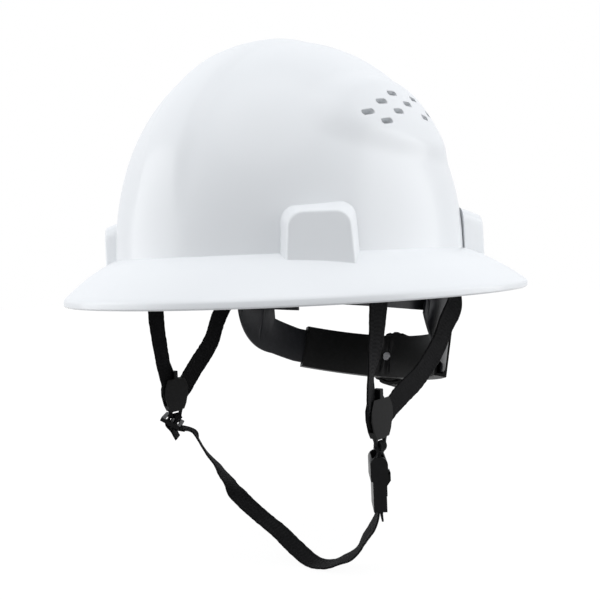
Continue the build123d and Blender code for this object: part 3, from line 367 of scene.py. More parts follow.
class Value:
    """One shader socket. Arithmetic on it adds Math nodes."""

    def __init__(self, finish, socket):
        self.finish = finish
        self.socket = socket

    def math(self, operation, *others, clamp=False):
        return self.finish.node(
            "ShaderNodeMath", {"operation": operation, "use_clamp": clamp}, dict(enumerate((self, *others)))
        )

    def __add__(self, other):
        return self.math("ADD", other)

    __radd__ = __add__

    def __mul__(self, other):
        return self.math("MULTIPLY", other)

    __rmul__ = __mul__

    def __sub__(self, other):
        return self.math("SUBTRACT", other)

    def __rsub__(self, other):
        return self.finish.node("ShaderNodeMath", {"operation": "SUBTRACT"}, {0: other, 1: self})

    def __truediv__(self, other):
        return self.math("DIVIDE", other)

    def __mod__(self, other):
        return self.math("FLOORED_MODULO", other)


class Finish:
    """A material and its nodes. The world takes the place of the material where its list is named."""

    def __init__(self, name, blocks="materials"):
        self.material = getattr(bpy.data, blocks).new(name)
        self.material.use_nodes = True
        self.tree = self.material.node_tree
        self.tree.nodes.clear()

    def node(self, kind, settings=None, inputs=None, output=0):
        """A node by its type, its settings and the values or links of its inputs, as one of its outputs."""
        made = self.tree.nodes.new(kind)
        for name, value in (settings or {}).items():
            setattr(made, name, value)
        for name, value in (inputs or {}).items():
            if isinstance(value, Value):
                self.tree.links.new(value.socket, made.inputs[name])
            else:
                made.inputs[name].default_value = value
        return Value(self, made.outputs[output]) if made.outputs else None

    def place(self):
        """The place on the piece's own surface."""
        return self.node("ShaderNodeTexCoord", output="Object")

    def ray(self, kind):
        """1 for rays of a kind and 0 for the others."""
        return self.node("ShaderNodeLightPath", output=f"Is {kind} Ray")

    def noise(self, scale, detail=2.0, roughness=0.5, vector=None):
        inputs = {"Vector": vector or self.place(), "Scale": scale, "Detail": detail, "Roughness": roughness}
        return self.node("ShaderNodeTexNoise", {}, inputs)

    def blend(self, share, low, high):
        """A colour between two others. Colours go through a Mix node."""
        return self.node("ShaderNodeMix", {"data_type": "RGBA"}, {0: share, 6: low, 7: high}, output=2)

    def bump(self, height, strength, distance, normal=None):
        inputs = {"Height": height, "Strength": strength, "Distance": distance}
        if normal is not None:
            inputs["Normal"] = normal
        return self.node("ShaderNodeBump", {}, inputs)

    def surface(self, **sockets):
        names = {name.replace("_", " "): value for name, value in sockets.items()}
        return self.finish(self.node("ShaderNodeBsdfPrincipled", {}, names))

    def finish(self, shader, kind="ShaderNodeOutputMaterial"):
        self.node(kind, {}, {"Surface": shader})
        return self.material


def tint(color, share):
    """A colour made lighter or darker by a share."""
    return tuple(min(1.0, part * share) for part in color[:3]) + (1.0,)


def shell_finish(sizes):
    """Moulded satin gloss plastic with a faint flow in its colour and gloss."""
    finish = Finish("shell_gloss")
    flow = finish.noise(14.0, 3.0, 0.55)
    fine = finish.noise(900.0, 1.0)
    scuffs = finish.noise(160.0, 4.0, 0.7)
    edges = finish.node("ShaderNodeBevel", {"samples": 6}, {"Radius": 0.0008})
    return finish.surface(
        Base_Color=finish.blend(flow, tint(sizes.color, 0.985), tint(sizes.color, 1.015)),
        Roughness=scuffs * 0.05 + (sizes.roughness - 0.025),
        IOR=1.5,
        Coat_Weight=0.25,
        Coat_Roughness=0.12,
        Normal=finish.bump(fine * 0.6 + flow * 0.4, 0.035, 0.0004, edges),
    )


def plastic_finish(name, color, roughness, grain, strength, shine):
    """Moulded black plastic with a fine grain and rubbed high spots."""
    finish = Finish(name)
    wide = finish.noise(40.0, 3.0, 0.6)
    fine = finish.noise(grain, 2.0, 0.6)
    wear = finish.noise(420.0, 4.0, 0.7).math("POWER", 4.0)
    shade = finish.blend(wide, tint(color, 0.8), tint(color, 1.35))
    worn = finish.blend(wear, shade, tint(color, 4.0))
    return finish.surface(
        Base_Color=worn,
        Roughness=wide * 0.14 + fine * 0.06 + (roughness - 0.1),
        IOR=1.48,
        Specular_IOR_Level=shine,
        Normal=finish.bump(fine, strength, 0.0002),
    )


def weave_finish(name, color, threads, pitch, rough):
    """Woven webbing: warp threads along it, crossed by wefts in a slanting twill, with painted light on the
    thread tops and painted shade in the hollows between them.
    """
    finish = Finish(name)
    woven = finish.node("ShaderNodeUVMap", {"uv_map": "weave"})
    across = finish.node("ShaderNodeSeparateXYZ", {}, {"Vector": woven}, output="X")
    along = finish.node("ShaderNodeSeparateXYZ", {}, {"Vector": woven}, output="Y")
    warp = across * threads
    chevron = (across * 4.0).math("PINGPONG", 1.0)
    weft = along / pitch + chevron * 3.0
    warp_arch = (warp % 1.0 - 0.5).math("ABSOLUTE")
    weft_arch = (weft % 1.0 - 0.5).math("ABSOLUTE")
    over = (warp.math("FLOOR") + weft.math("FLOOR")) % 2.0
    warp_height = 1.0 - warp_arch.math("POWER", 2.0) * 3.4
    weft_height = 1.0 - weft_arch.math("POWER", 2.0) * 3.4
    height = warp_height * over + weft_height * (1.0 - over) * 0.86
    fuzz = finish.noise(2600.0, 2.0, 0.6)
    lint = finish.noise(240.0, 4.0, 0.65)
    relief = height * 0.75 + fuzz * 0.25
    # Painted light and shade: the weave's height makes thread tops lighter and the hollows between threads
    # darker.
    crown = height.math("MULTIPLY", 1.0, clamp=True)
    shade = finish.blend(crown, tint(color, 0.6), tint(color, 1.25))
    dusty = finish.blend(lint.math("POWER", 5.0), shade, tint(color, 2.4))
    return finish.surface(
        Base_Color=dusty,
        Roughness=fuzz * 0.12 + (rough - 0.06),
        IOR=1.45,
        Specular_IOR_Level=0.12,
        Sheen_Weight=0.02,
        Sheen_Roughness=0.5,
        Normal=finish.bump(relief, 0.4, 0.0004),
    )


def pad_finish(color):
    """Soft knitted sweatband over foam, with rows of small holes painted darker as painted shade."""
    finish = Finish("pad_knit")
    place = finish.place()
    holes = finish.node(
        "ShaderNodeTexVoronoi", {"feature": "F1"}, {"Vector": place, "Scale": 260.0, "Randomness": 0.25}
    )
    knit = finish.noise(1500.0, 2.0, 0.6)
    crease = finish.noise(60.0, 3.0, 0.6)
    # Painted shade: this mask is 0 in the holes, which are painted darker, and it also sinks them in the
    # relief.
    hole_shade_mask = (holes * 3.0).math("SUBTRACT", 0.35, clamp=True)
    shade = finish.blend(crease, tint(color, 0.75), tint(color, 1.5))
    return finish.surface(
        Base_Color=finish.blend(hole_shade_mask, tint(color, 0.25), shade),
        Roughness=knit * 0.1 + 0.82,
        Sheen_Weight=0.2,
        Normal=finish.bump(hole_shade_mask * 0.7 + knit * 0.3, 0.5, 0.0004),
    )


def screw_finish():
    """Turned steel, lightly brushed round its head."""
    finish = Finish("screw_steel")
    stretched = finish.node(
        "ShaderNodeMapping", {}, {"Vector": finish.place(), "Scale": (300.0, 3000.0, 300.0)}
    )
    brushed = finish.noise(1.0, 3.0, 0.7, stretched)
    return finish.surface(
        Base_Color=finish.blend(brushed, (0.36, 0.36, 0.37, 1), (0.58, 0.58, 0.6, 1)),
        Metallic=1.0,
        Roughness=brushed * 0.2 + 0.25,
        Normal=finish.bump(brushed, 0.2, 0.0001),
    )


def smooth(mesh, sharp):
    """Smooth shading but for edges that turn more than an angle."""
    for polygon in mesh.polygons:
        polygon.use_smooth = True
    mesh.set_sharp_from_angle(angle=math.radians(sharp))


def finished(bm, name, material, sharp=30.0):
    """Makes an object of a bmesh, smooth but for its sharp edges."""
    mesh = bpy.data.meshes.new(name)
    bm.to_mesh(mesh)
    bm.free()
    smooth(mesh, sharp)
    obj = bpy.data.objects.new(name, mesh)
    bpy.context.scene.collection.objects.link(obj)
    if material:
        mesh.materials.append(material)
    return obj


def grown(bm, edges):
    """Extrudes a ring of edges by nothing, and gives the new vertices and edges."""
    made = bmesh.ops.extrude_edge_only(bm, edges=edges)["geom"]
    verts = [item for item in made if isinstance(item, bmesh.types.BMVert)]
    fresh = set(verts)
    lines = [item for item in made if isinstance(item, bmesh.types.BMEdge)]
    return verts, [line for line in lines if set(line.verts) <= fresh]


def section_ring(bm, layer, count):
    """A closed ring of vertices, each with its number in a layer, and the ring's edges."""
    verts = []
    for index in range(count):
        vert = bm.verts.new((0, 0, index * 1e-4))
        vert[layer] = index
        verts.append(vert)
    return verts, [bm.edges.new((verts[index - 1], verts[index])) for index in range(count)]


def turned(angle):
    """Outward and sideways directions at an angle from the front."""
    turn = math.radians(angle)
    return Vector((math.sin(turn), -math.cos(turn), 0)), Vector((math.cos(turn), math.sin(turn), 0))


def rounded(bm, edges, radius, segments):
    """Rounds edges by a radius in millimetres."""
    bmesh.ops.bevel(
        bm, geom=edges, offset=radius * MM, offset_type="OFFSET", affect="EDGES", segments=segments,
        profile=0.5, material=-1,
    )


def capped(bm, first, last):
    """Closes a swept piece at both ends, with its faces outwards."""
    bmesh.ops.contextual_create(bm, geom=first)
    bmesh.ops.contextual_create(bm, geom=last)
    bmesh.ops.recalc_face_normals(bm, faces=bm.faces[:])


def bezier(points, share):
    """A place in a plane, on the curve that its points lead."""
    last = len(points) - 1
    weights = [math.comb(last, step) * (1 - share) ** (last - step) * share**step for step in range(last + 1)]
    return tuple(sum(w * point[axis] for w, point in zip(weights, points)) for axis in (0, 1))


def eased(value, low, high):
    """0 below low, 1 above high and smooth between them."""
    share = min(1.0, max(0.0, (value - low) / (high - low)))
    return share * share * (3 - 2 * share)


def brim_level(share):
    """Height share of the brim's curve at its share of the way out."""
    total = 0.0
    for index, (place, value) in enumerate(BRIM_CURVE):
        for other, (there, _) in enumerate(BRIM_CURVE):
            if other != index:
                value *= (share - there) / (place - there)
        total += value
    return total


def blank_rings(rim_inset, crease_inset, drop, brim_rings, dome_rings, foot=None):
    """The ellipses of one face of the shell, from its rim up: half width, half length, setback, level.

    The outside has no foot: it starts at the brim's lower edge, which is rounded.
    """
    rim = [half - rim_inset for half in RIM]
    crease = [half - crease_inset for half in DOME[:2]]
    lip = RIM_LIP - drop
    if foot is None:
        rings = [(rim[0] - RIM_ROUND, rim[1] - RIM_ROUND, RIM_SETBACK, 0.0), (*rim, RIM_SETBACK, RIM_ROUND)]
    else:
        rings = [(*rim, RIM_SETBACK, foot)]
    rings.append((*rim, RIM_SETBACK, lip - LIP_ROUND[1]))
    for index in range(brim_rings, 0, -1):
        share = index / brim_rings
        across, along = (
            inner + (outer - inner) * share - (LIP_ROUND[0] if index == brim_rings else 0)
            for inner, outer in zip(crease, rim)
        )
        rings.append((across, along, RIM_SETBACK * share, lip + (CREASE - RIM_LIP) * brim_level(share)))
    start = CREASE - drop
    crown = CREASE + DOME[2] - crease_inset
    curve = ((1.0, 0.0), (1.0, DOME_BULGE), (DOME_BULGE, 1.0), (0.0, 1.0))
    for index in range(dome_rings):
        across, up = bezier(curve, index / dome_rings)
        rings.append((crease[0] * across, crease[1] * across, 0.0, start + (crown - start) * up))
    return rings, crown


def stack(rings, crown, segments):
    """Extrudes an ellipse ring by ring up its profile and closes it at both ends."""
    bm = bmesh.new()
    turn_layer = bm.verts.layers.float.new("turn")
    bmesh.ops.create_circle(bm, segments=segments, radius=1.0, cap_ends=False)
    for vert in bm.verts:
        vert[turn_layer] = math.atan2(vert.co.y, vert.co.x)
    verts, edges = bm.verts[:], bm.edges[:]
    base = edges
    for number, (across, along, setback, level) in enumerate(rings):
        if number:
            verts, edges = grown(bm, edges)
        for vert in verts:
            turn = vert[turn_layer]
            vert.co = Vector((across * math.cos(turn), setback + along * math.sin(turn), level)) * MM
    bmesh.ops.contextual_create(bm, geom=base)
    top, _ = grown(bm, edges)
    bmesh.ops.pointmerge(bm, verts=top, merge_co=Vector((0, 0, crown)) * MM)
    bmesh.ops.recalc_face_normals(bm, faces=bm.faces[:])
    return bm


def panel_frame(side):
    """Middle, outward, backward and upward directions of a vented panel."""
    pitch = math.radians(PANEL_PITCH)
    share = math.sqrt(1 - ((PANEL_LEVEL - CREASE) / DOME[2]) ** 2)
    middle = Vector((side * DOME[0] * share, PANEL_SETBACK, PANEL_LEVEL)) * MM
    out = Vector((side * math.cos(pitch), 0, math.sin(pitch)))
    up = Vector((-side * math.sin(pitch), 0, math.cos(pitch)))
    return middle, out, Vector((0, 1, 0)), up


def swell(bm, sizes):
    """Raises the crown ridge and the vented panels out of the dome, with soft edges."""
    bm.normal_update()
    edges = (sizes.ridge_half - RIDGE_EDGES[0] * MM, sizes.ridge_half + RIDGE_EDGES[1] * MM)
    frames = [panel_frame(side) for side in SIDES.values()]
    moves = []
    for vert in bm.verts:
        level = vert.co.z / MM - CREASE
        rise = sizes.ridge_rise * (1 - eased(abs(vert.co.x), *edges)) * eased(level, *RIDGE_FADE)
        for middle, out, back, up in frames:
            away = (vert.co - middle) / MM
            if away.dot(out) < -PANEL_BACK:
                continue
            reach = math.hypot(away.dot(back) / PANEL_HALF[0], away.dot(up) / PANEL_HALF[1])
            rise = max(rise, sizes.panel_rise * (1 - eased(reach, *PANEL_EDGES)))
        if rise:
            moves.append((vert, vert.normal * rise))
    for vert, move in moves:
        vert.co += move


def pushed(bm, face):
    """Extrudes a face by nothing, keeps it, and gives the new vertices."""
    made = bmesh.ops.extrude_face_region(bm, geom=[face], use_keep_orig=True)["geom"]
    return [item for item in made if isinstance(item, bmesh.types.BMVert)]


def boss_block(angle):
    """One raised pocket: a face that leans back on all sides into the dome."""
    bm = bmesh.new()
    out, side = turned(angle)

    def corners(distance, spread):
        wide = BOSS_HALF_WIDTH + spread
        narrow = wide - BOSS_NARROWING
        high = BOSS_TOP + spread
        return [
            (out * distance + side * across + Vector((0, 0, level))) * MM
            for across, level in ((-wide, BOSS_LOW), (wide, BOSS_LOW), (narrow, high), (-narrow, high))
        ]

    front = corners(BOSS_FACE, 0)
    behind = corners(BOSS_FACE - BOSS_DEPTH, BOSS_DRAFT)
    face = bm.faces.new([bm.verts.new(place) for place in front])
    for vert in pushed(bm, face):
        nearest = min(range(len(front)), key=lambda index: (vert.co - front[index]).length)
        vert.co = behind[nearest]
    bmesh.ops.recalc_face_normals(bm, faces=bm.faces[:])
    legs = []
    for edge in bm.edges:
        one, other = (vert.co for vert in edge.verts)
        deep = abs((one - other).dot(out)) > BOSS_DEPTH / 2 * MM
        if deep and min(one.z, other.z) > (BOSS_LOW + BOSS_TOP) / 2 * MM:
            legs.append(edge)
    rounded(bm, legs, BOSS_CORNER, segments=7)
    rim = []
    for edge in bm.edges:
        flat = all(abs(vert.co.dot(out) - BOSS_FACE * MM) < MERGE for vert in edge.verts)
        if flat and max(vert.co.z for vert in edge.verts) > BOSS_LOW * MM + MERGE:
            rim.append(edge)
    rounded(bm, rim, BOSS_EDGE, segments=3)
    bmesh.ops.recalc_face_normals(bm, faces=bm.faces[:])
    return bm


def boss_blocks():
    """All the raised pockets."""
    bm = bmesh.new()
    for angle in BOSS_TURNS:
        one = boss_block(angle)
        mesh = bpy.data.meshes.new("boss")
        one.to_mesh(mesh)
        one.free()
        bm.from_mesh(mesh)
        bpy.data.meshes.remove(mesh)
    return bm


def block(bm, middle, across, size):
    """An upright box in a bmesh, by its middle, the direction of its width and its size."""
    up = Vector((0, 0, 1))
    matrix = Matrix((across, up, across.cross(up))).transposed().to_4x4()
    matrix.translation = middle * MM
    bmesh.ops.create_cube(bm, size=1.0, matrix=matrix @ Matrix.Diagonal((*[part * MM for part in size], 1)))


def anchor_frame(side, place, inset):
    """A place in from the wall beside a strap anchor, and the direction along the wall."""
    across = DOME[0] - WALL
    along = DOME[1] - WALL
    half = across * math.sqrt(1 - (place / along) ** 2)
    out = Vector((side * half / across**2, place / along**2, 0)).normalized()
    origin = Vector((side * half, place, ANCHOR_LEVEL)) - out * inset
    return origin, Vector((-out.y, out.x, 0))


def pocket_blocks():
    """The room for a suspension key behind each raised pocket."""
    bm = bmesh.new()
    near, far = POCKET_DEPTHS
    low, high = POCKET_LEVELS
    for angle in BOSS_TURNS:
        out, across = turned(angle)
        middle = out * (near + far) / 2 + Vector((0, 0, (low + high) / 2))
        block(bm, middle, across, (POCKET_WIDTH, high - low, far - near))
    bmesh.ops.recalc_face_normals(bm, faces=bm.faces[:])
    return bm


def peg_blocks():
    """The pegs inside the shell that the strap anchors clip on, each with its catch."""
    bm = bmesh.new()
    for side in SIDES.values():
        for place in ANCHOR_PLACES.values():
            for size, inset, lift in ((PEG, PEG_INSET, 0), (PEG_CATCH, PEG_CATCH_INSET, PEG_CATCH_LIFT)):
                origin, across = anchor_frame(side, place, inset)
                block(bm, origin + Vector((0, 0, lift)), across, size)
    bmesh.ops.recalc_face_normals(bm, faces=bm.faces[:])
    return bm


def vent_cutter():
    """Every vent as one slot through the panels."""
    bm = bmesh.new()
    stretch = (VENT_LENGTH - VENT_WIDTH) / 2 * MM
    turn = math.radians(VENT_SLANT)
    for side in SIDES.values():
        middle, out, back, up = panel_frame(side)
        for first, level, count in VENT_ROWS:
            for step in range(count):
                radius = VENT_WIDTH / 2 * MM
                slot = bmesh.ops.create_circle(bm, segments=24, radius=radius, cap_ends=True)["verts"]
                for vert in slot:
                    vert.co.x += math.copysign(stretch, vert.co.x) if abs(vert.co.x) > MERGE else 0
                far = pushed(bm, slot[0].link_faces[0])
                for vert in far:
                    vert.co.z -= VENT_DEPTH * MM
                along = first + VENT_STEP[0] * step - PANEL_SETBACK
                high = level + VENT_STEP[1] * step
                x_way = back * math.cos(turn) + up * math.sin(turn)
                y_way = up * math.cos(turn) - back * math.sin(turn)
                matrix = Matrix((x_way, y_way, out)).transposed().to_4x4()
                matrix.translation = middle + (out * VENT_START + back * along + up * high) * MM
                bmesh.ops.transform(bm, matrix=matrix, verts=slot + far)
    bmesh.ops.recalc_face_normals(bm, faces=bm.faces[:])
    return bm


def cut(obj, other, operation):
    """Joins or cuts with another closed mesh and keeps the result."""
    modifier = obj.modifiers.new("cut", "BOOLEAN")
    modifier.operation = operation
    modifier.solver = "EXACT"
    modifier.object = other
    graph = bpy.context.evaluated_depsgraph_get()
    mesh = bpy.data.meshes.new_from_object(obj.evaluated_get(graph))
    obj.modifiers.clear()
    old = obj.data
    obj.data = mesh
    bpy.data.meshes.remove(old)
    spent = other.data
    bpy.data.objects.remove(other)
    bpy.data.meshes.remove(spent)


class HAT_OT_shell(bpy.types.Operator):
    """Build the moulded shell with its brim, bosses, ridge, panels and vents"""

    bl_idname = "hat.shell"
    bl_label = "Shell"

    def execute(self, context):
        sizes = context.scene.hat_shell
        rings, crown = blank_rings(0, 0, 0, BRIM_RINGS, sizes.dome_rings)
        outside = stack(rings, crown, sizes.segments)
        swell(outside, sizes)
        shell = finished(outside, "hat_shell", None)
        cut(shell, finished(boss_blocks(), "bosses", None), "UNION")
        rings, crown = blank_rings(RIM_WALL, WALL, BRIM_WALL, *INSIDE_RINGS, INSIDE_FOOT)
        inside = finished(stack(rings, crown, sizes.segments // 2), "inside", None)
        cut(inside, finished(pocket_blocks(), "pockets", None), "UNION")
        cut(inside, finished(peg_blocks(), "pegs", None), "DIFFERENCE")
        cut(shell, inside, "DIFFERENCE")
        cut(shell, finished(vent_cutter(), "vents", None), "DIFFERENCE")
        clean = bmesh.new()
        clean.from_mesh(shell.data)
        bmesh.ops.remove_doubles(clean, verts=clean.verts[:], dist=MERGE)
        bmesh.ops.dissolve_degenerate(clean, dist=MERGE, edges=clean.edges[:])
        clean.to_mesh(shell.data)
        clean.free()
        smooth(shell.data, SHELL_SHARP)
        shell.data.materials.clear()
        shell.data.materials.append(shell_finish(sizes))
        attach(shell, "hat")
        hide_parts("shell")
        return {"FINISHED"}


def curve_through(stations, step):
    """Even steps along a smooth curve through the stations, with their directions and shares."""
    places = [Vector(place) * MM for place, _, _ in stations]
    wides = [Vector(wide).normalized() for _, wide, _ in stations]
    shares = [share for _, _, share in stations]
    line = []
    for index in range(len(places) - 1):
        before = places[max(index - 1, 0)]
        start, end = places[index], places[index + 1]
        after = places[min(index + 2, len(places) - 1)]
        length = (end - start).length
        lead = (end - before) / (length + (start - before).length) * length
        trail = (after - start) / (length + (after - end).length) * length
        count = max(2, round(length / step))
        for number in range(count):
            t = number / count
            place = (
                start * (2 * t**3 - 3 * t**2 + 1) + lead * (t**3 - 2 * t**2 + t)
                + end * (-2 * t**3 + 3 * t**2) + trail * (t**3 - t**2)
            )
            blend = eased(t, 0, 1)
            line.append((
                place,
                wides[index].lerp(wides[index + 1], blend),
                shares[index] + (shares[index + 1] - shares[index]) * blend,
            ))
    line.append((places[-1], wides[-1], shares[-1]))
    return line


def ribbon(name, stations, width, thickness, step, material, wander):
    """A woven strap swept along its stations, with thicker selvedges and slightly uneven edges."""
    line = curve_through(stations, step)
    bm = bmesh.new()
    corner_layer = bm.verts.layers.int.new("corner")
    along_layer = bm.verts.layers.float.new("along")
    uv_layer = bm.loops.layers.uv.new("weave")
    verts, edges = section_ring(bm, corner_layer, len(WEB_SECTION))
    first = edges
    seed = len(name) * SEED_STEP
    run = 0.0
    for number, (place, wide, share) in enumerate(line):
        along = line[min(number + 1, len(line) - 1)][0] - line[max(number - 1, 0)][0]
        along.normalize()
        wide = (wide - along * wide.dot(along)).normalized()
        face = along.cross(wide)
        if number:
            run += (place - line[number - 1][0]).length
            verts, edges = grown(bm, edges)
        left = noise.noise(Vector((run * EDGE_RATE, seed, 0))) * wander
        right = noise.noise(Vector((run * EDGE_RATE, seed, 9))) * wander
        lift = noise.noise(Vector((run * LIFT_RATE, seed, 4))) * wander * LIFT_SHARE
        for vert in verts:
            across, up = WEB_SECTION[vert[corner_layer]]
            half = width / 2 * share + (left if across < 0 else right)
            puff = 1 + PUFF * noise.noise(Vector((run * PUFF_RATE, across * PUFF_ACROSS, seed)))
            out = up * thickness / 2 * puff + lift * (1 - share * LIFT_FLAT)
            vert.co = place + wide * across * half + face * out
            vert[along_layer] = run
    capped(bm, first, edges)
    for item in bm.faces:
        for loop in item.loops:
            across = WEB_SECTION[loop.vert[corner_layer]][0]
            loop[uv_layer].uv = ((across + 1) / 2, loop.vert[along_layer])
    return finished(bm, name, material, sharp=55.0)


def hung(route, side, shift):
    """Stations of webbing that is gathered in a divider's eye and turns to the buckle's way as it widens."""
    stations = []
    for across, up, share in route:
        wide, out = turned(BUCKLE_TURN * share)
        middle = Vector((side * DIVIDER[0], DIVIDER[1] + shift * share, up))
        stations.append((middle + out * across, wide, GATHERED + (1 - GATHERED) * share))
    return stations


class HAT_OT_webbing(bpy.types.Operator):
    """Build the four upper webbings, the neck loop and the chin webbing"""

    bl_idname = "hat.webbing"
    bl_label = "Webbing"

    def execute(self, context):
        sizes = context.scene.hat_webbing
        material = weave_finish("webbing_weave", sizes.color, threads=14.0, pitch=0.00115, rough=0.8)
        runs = {}
        for name, route in UPPER_ROUTES.items():
            end, side_name = name.split("_")
            stations = []
            for up, inset in FOLD:
                origin, across = anchor_frame(SIDES[side_name], ANCHOR_PLACES[end], inset)
                wide = across * (-1 if across.y > 0 else 1)
                stations.append((origin + Vector((0, 0, up)), wide, 1))
            runs[f"webbing_{name}"] = stations + list(route)
        runs["neck_webbing"] = hung(NECK_ROUTE, SIDES["left"], BUCKLE[1] - DIVIDER[1])
        wide, out = turned(BUCKLE_TURN)
        stations = [(Vector((*BUCKLE, up)) + out * across, wide, 1) for across, up in CHIN_LOOP]
        stations += [(place, way, 1) for place, way in CHIN_ROUTE]
        runs["chin_webbing"] = stations + hung(ADJUSTER_ROUTE, SIDES["right"], 0)
        for name, stations in runs.items():
            piece = ribbon(
                f"{name}_woven", stations, sizes.width, sizes.thickness, sizes.step, material, WANDER * MM
            )
            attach(piece, "hat")
            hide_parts(name)
        return {"FINISHED"}


class HAT_OT_crown_straps(bpy.types.Operator):
    """Build the two crossed crown straps"""

    bl_idname = "hat.crown_straps"
    bl_label = "Crown Straps"

    def execute(self, context):
        sizes = context.scene.hat_webbing
        material = weave_finish(
            "crown_strap_weave", sizes.strap_color, threads=18.0, pitch=0.0012, rough=0.82
        )
        for layer, (name, angle) in enumerate(STRAP_TURNS.items()):
            out, wide = turned(angle)
            crown = STRAP_CROWN + layer * STRAP_LAYER
            curve = (
                (KEY_FACE - KEY_LEADS[0], STRAP_WINDOW),
                (KEY_FACE - KEY_LEADS[1], STRAP_WINDOW),
                (KEY_FACE, STRAP_WINDOW + (crown - STRAP_WINDOW) * DOME_BULGE),
                (KEY_FACE * DOME_BULGE, crown),
                (0, crown),
            )
            half = [(STRAP_FACE + away, STRAP_WINDOW + up) for away, up in STRAP_FOLD]
            half += [bezier(curve, index / STRAP_BENDS) for index in range(STRAP_BENDS + 1)]
            route = half + [(-away, up) for away, up in reversed(half[:-1])]
            stations = [(out * away + Vector((0, 0, up)), wide, 1) for away, up in route]
            piece = ribbon(
                f"{name}_woven", stations, sizes.strap_width, sizes.thickness, STRAP_STEP * MM, material,
                STRAP_WANDER * MM,
            )
            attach(piece, "hat")
            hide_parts(name)
        return {"FINISHED"}


def along_band(setback, ends):
    """A measure of the headband between its front and its end, at a place behind the hat's middle."""
    share = (setback - PAD_FRONT) / (BAND_END - PAD_FRONT)
    return ends[0] + (ends[1] - ends[0]) * share


class HAT_OT_brow_pad(bpy.types.Operator):
    """Build the padded sweatband inside the headband"""

    bl_idname = "hat.brow_pad"
    bl_label = "Brow Pad"

    def execute(self, context):
        sizes = context.scene.hat_webbing
        bm = bmesh.new()
        corner_layer = bm.verts.layers.int.new("corner")
        section = []
        for index in range(PAD_SECTION):
            turn = 2 * math.pi * index / PAD_SECTION
            across = math.copysign(abs(math.cos(turn)) ** PAD_ROUND[0], math.cos(turn))
            up = math.copysign(abs(math.sin(turn)) ** PAD_ROUND[1], math.sin(turn))
            section.append((across * PAD_THICK, up))
        verts, edges = section_ring(bm, corner_layer, PAD_SECTION)
        first = edges
        start = math.asin(-PAD_BACK / (PAD_HALF[1] + PAD_THICK))
        for number in range(PAD_STEPS + 1):
            if number:
                verts, edges = grown(bm, edges)
            share = number / PAD_STEPS
            turn = start + (math.pi - 2 * start) * share
            end = min(share, 1 - share) * PAD_STEPS
            taper = math.sqrt(min(1.0, (end + PAD_TAPER[0]) / PAD_TAPER[1]))
            away = (share * PAD_CHANNELS + 0.5) % 1.0 - 0.5
            channel = 1 - PAD_CHANNEL[0] * math.exp(-(away / PAD_CHANNEL[1]) ** 2)
            middle = Vector((-PAD_HALF[0] * math.cos(turn), -PAD_HALF[1] * math.sin(turn), 0))
            out = Vector((middle.x / PAD_HALF[0] ** 2, middle.y / PAD_HALF[1] ** 2, 0)).normalized()
            level = along_band(middle.y, PAD_LEVELS)
            tall = along_band(middle.y, PAD_TALL) * (PAD_END_TALL + (1 - PAD_END_TALL) * taper)
            for vert in verts:
                across, up = section[vert[corner_layer]]
                if across < 0:
                    across *= channel
                vert.co = (middle + out * across * taper + Vector((0, 0, level + up * tall))) * MM
        capped(bm, first, edges)
        pad = finished(bm, "brow_pad_soft", pad_finish(sizes.pad_color), sharp=70.0)
        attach(pad, "hat")
        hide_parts("brow_pad")
        return {"FINISHED"}


class HAT_OT_plastics(bpy.types.Operator):
    """Finish the moulded and metal pieces that keep their construction shape"""

    bl_idname = "hat.plastics"
    bl_label = "Plastics and Screw"

    def execute(self, context):
        sizes = context.scene.hat_plastics
        finishes = {"screw": screw_finish()}
        for kind, (finish_name, *looks) in PLASTICS.items():
            finishes[f"{kind}_plastic"] = plastic_finish(finish_name, getattr(sizes, kind), *looks)
        slots = {part["node"]: part["material_slot"] for part in frame["record"]["subparts"]}
        for name, node in frame["nodes"].items():
            if slots.get(name) not in finishes:
                continue
            node.data.materials.clear()
            node.data.materials.append(finishes[slots[name]])
            weld = node.modifiers.new("weld", "WELD")
            weld.merge_threshold = WELD
            edge = node.modifiers.new("edge", "BEVEL")
            edge.width = sizes.edge
            edge.segments = 2
            edge.limit_method = "ANGLE"
            edge.angle_limit = math.radians(EDGE_TURN)
        return {"FINISHED"}


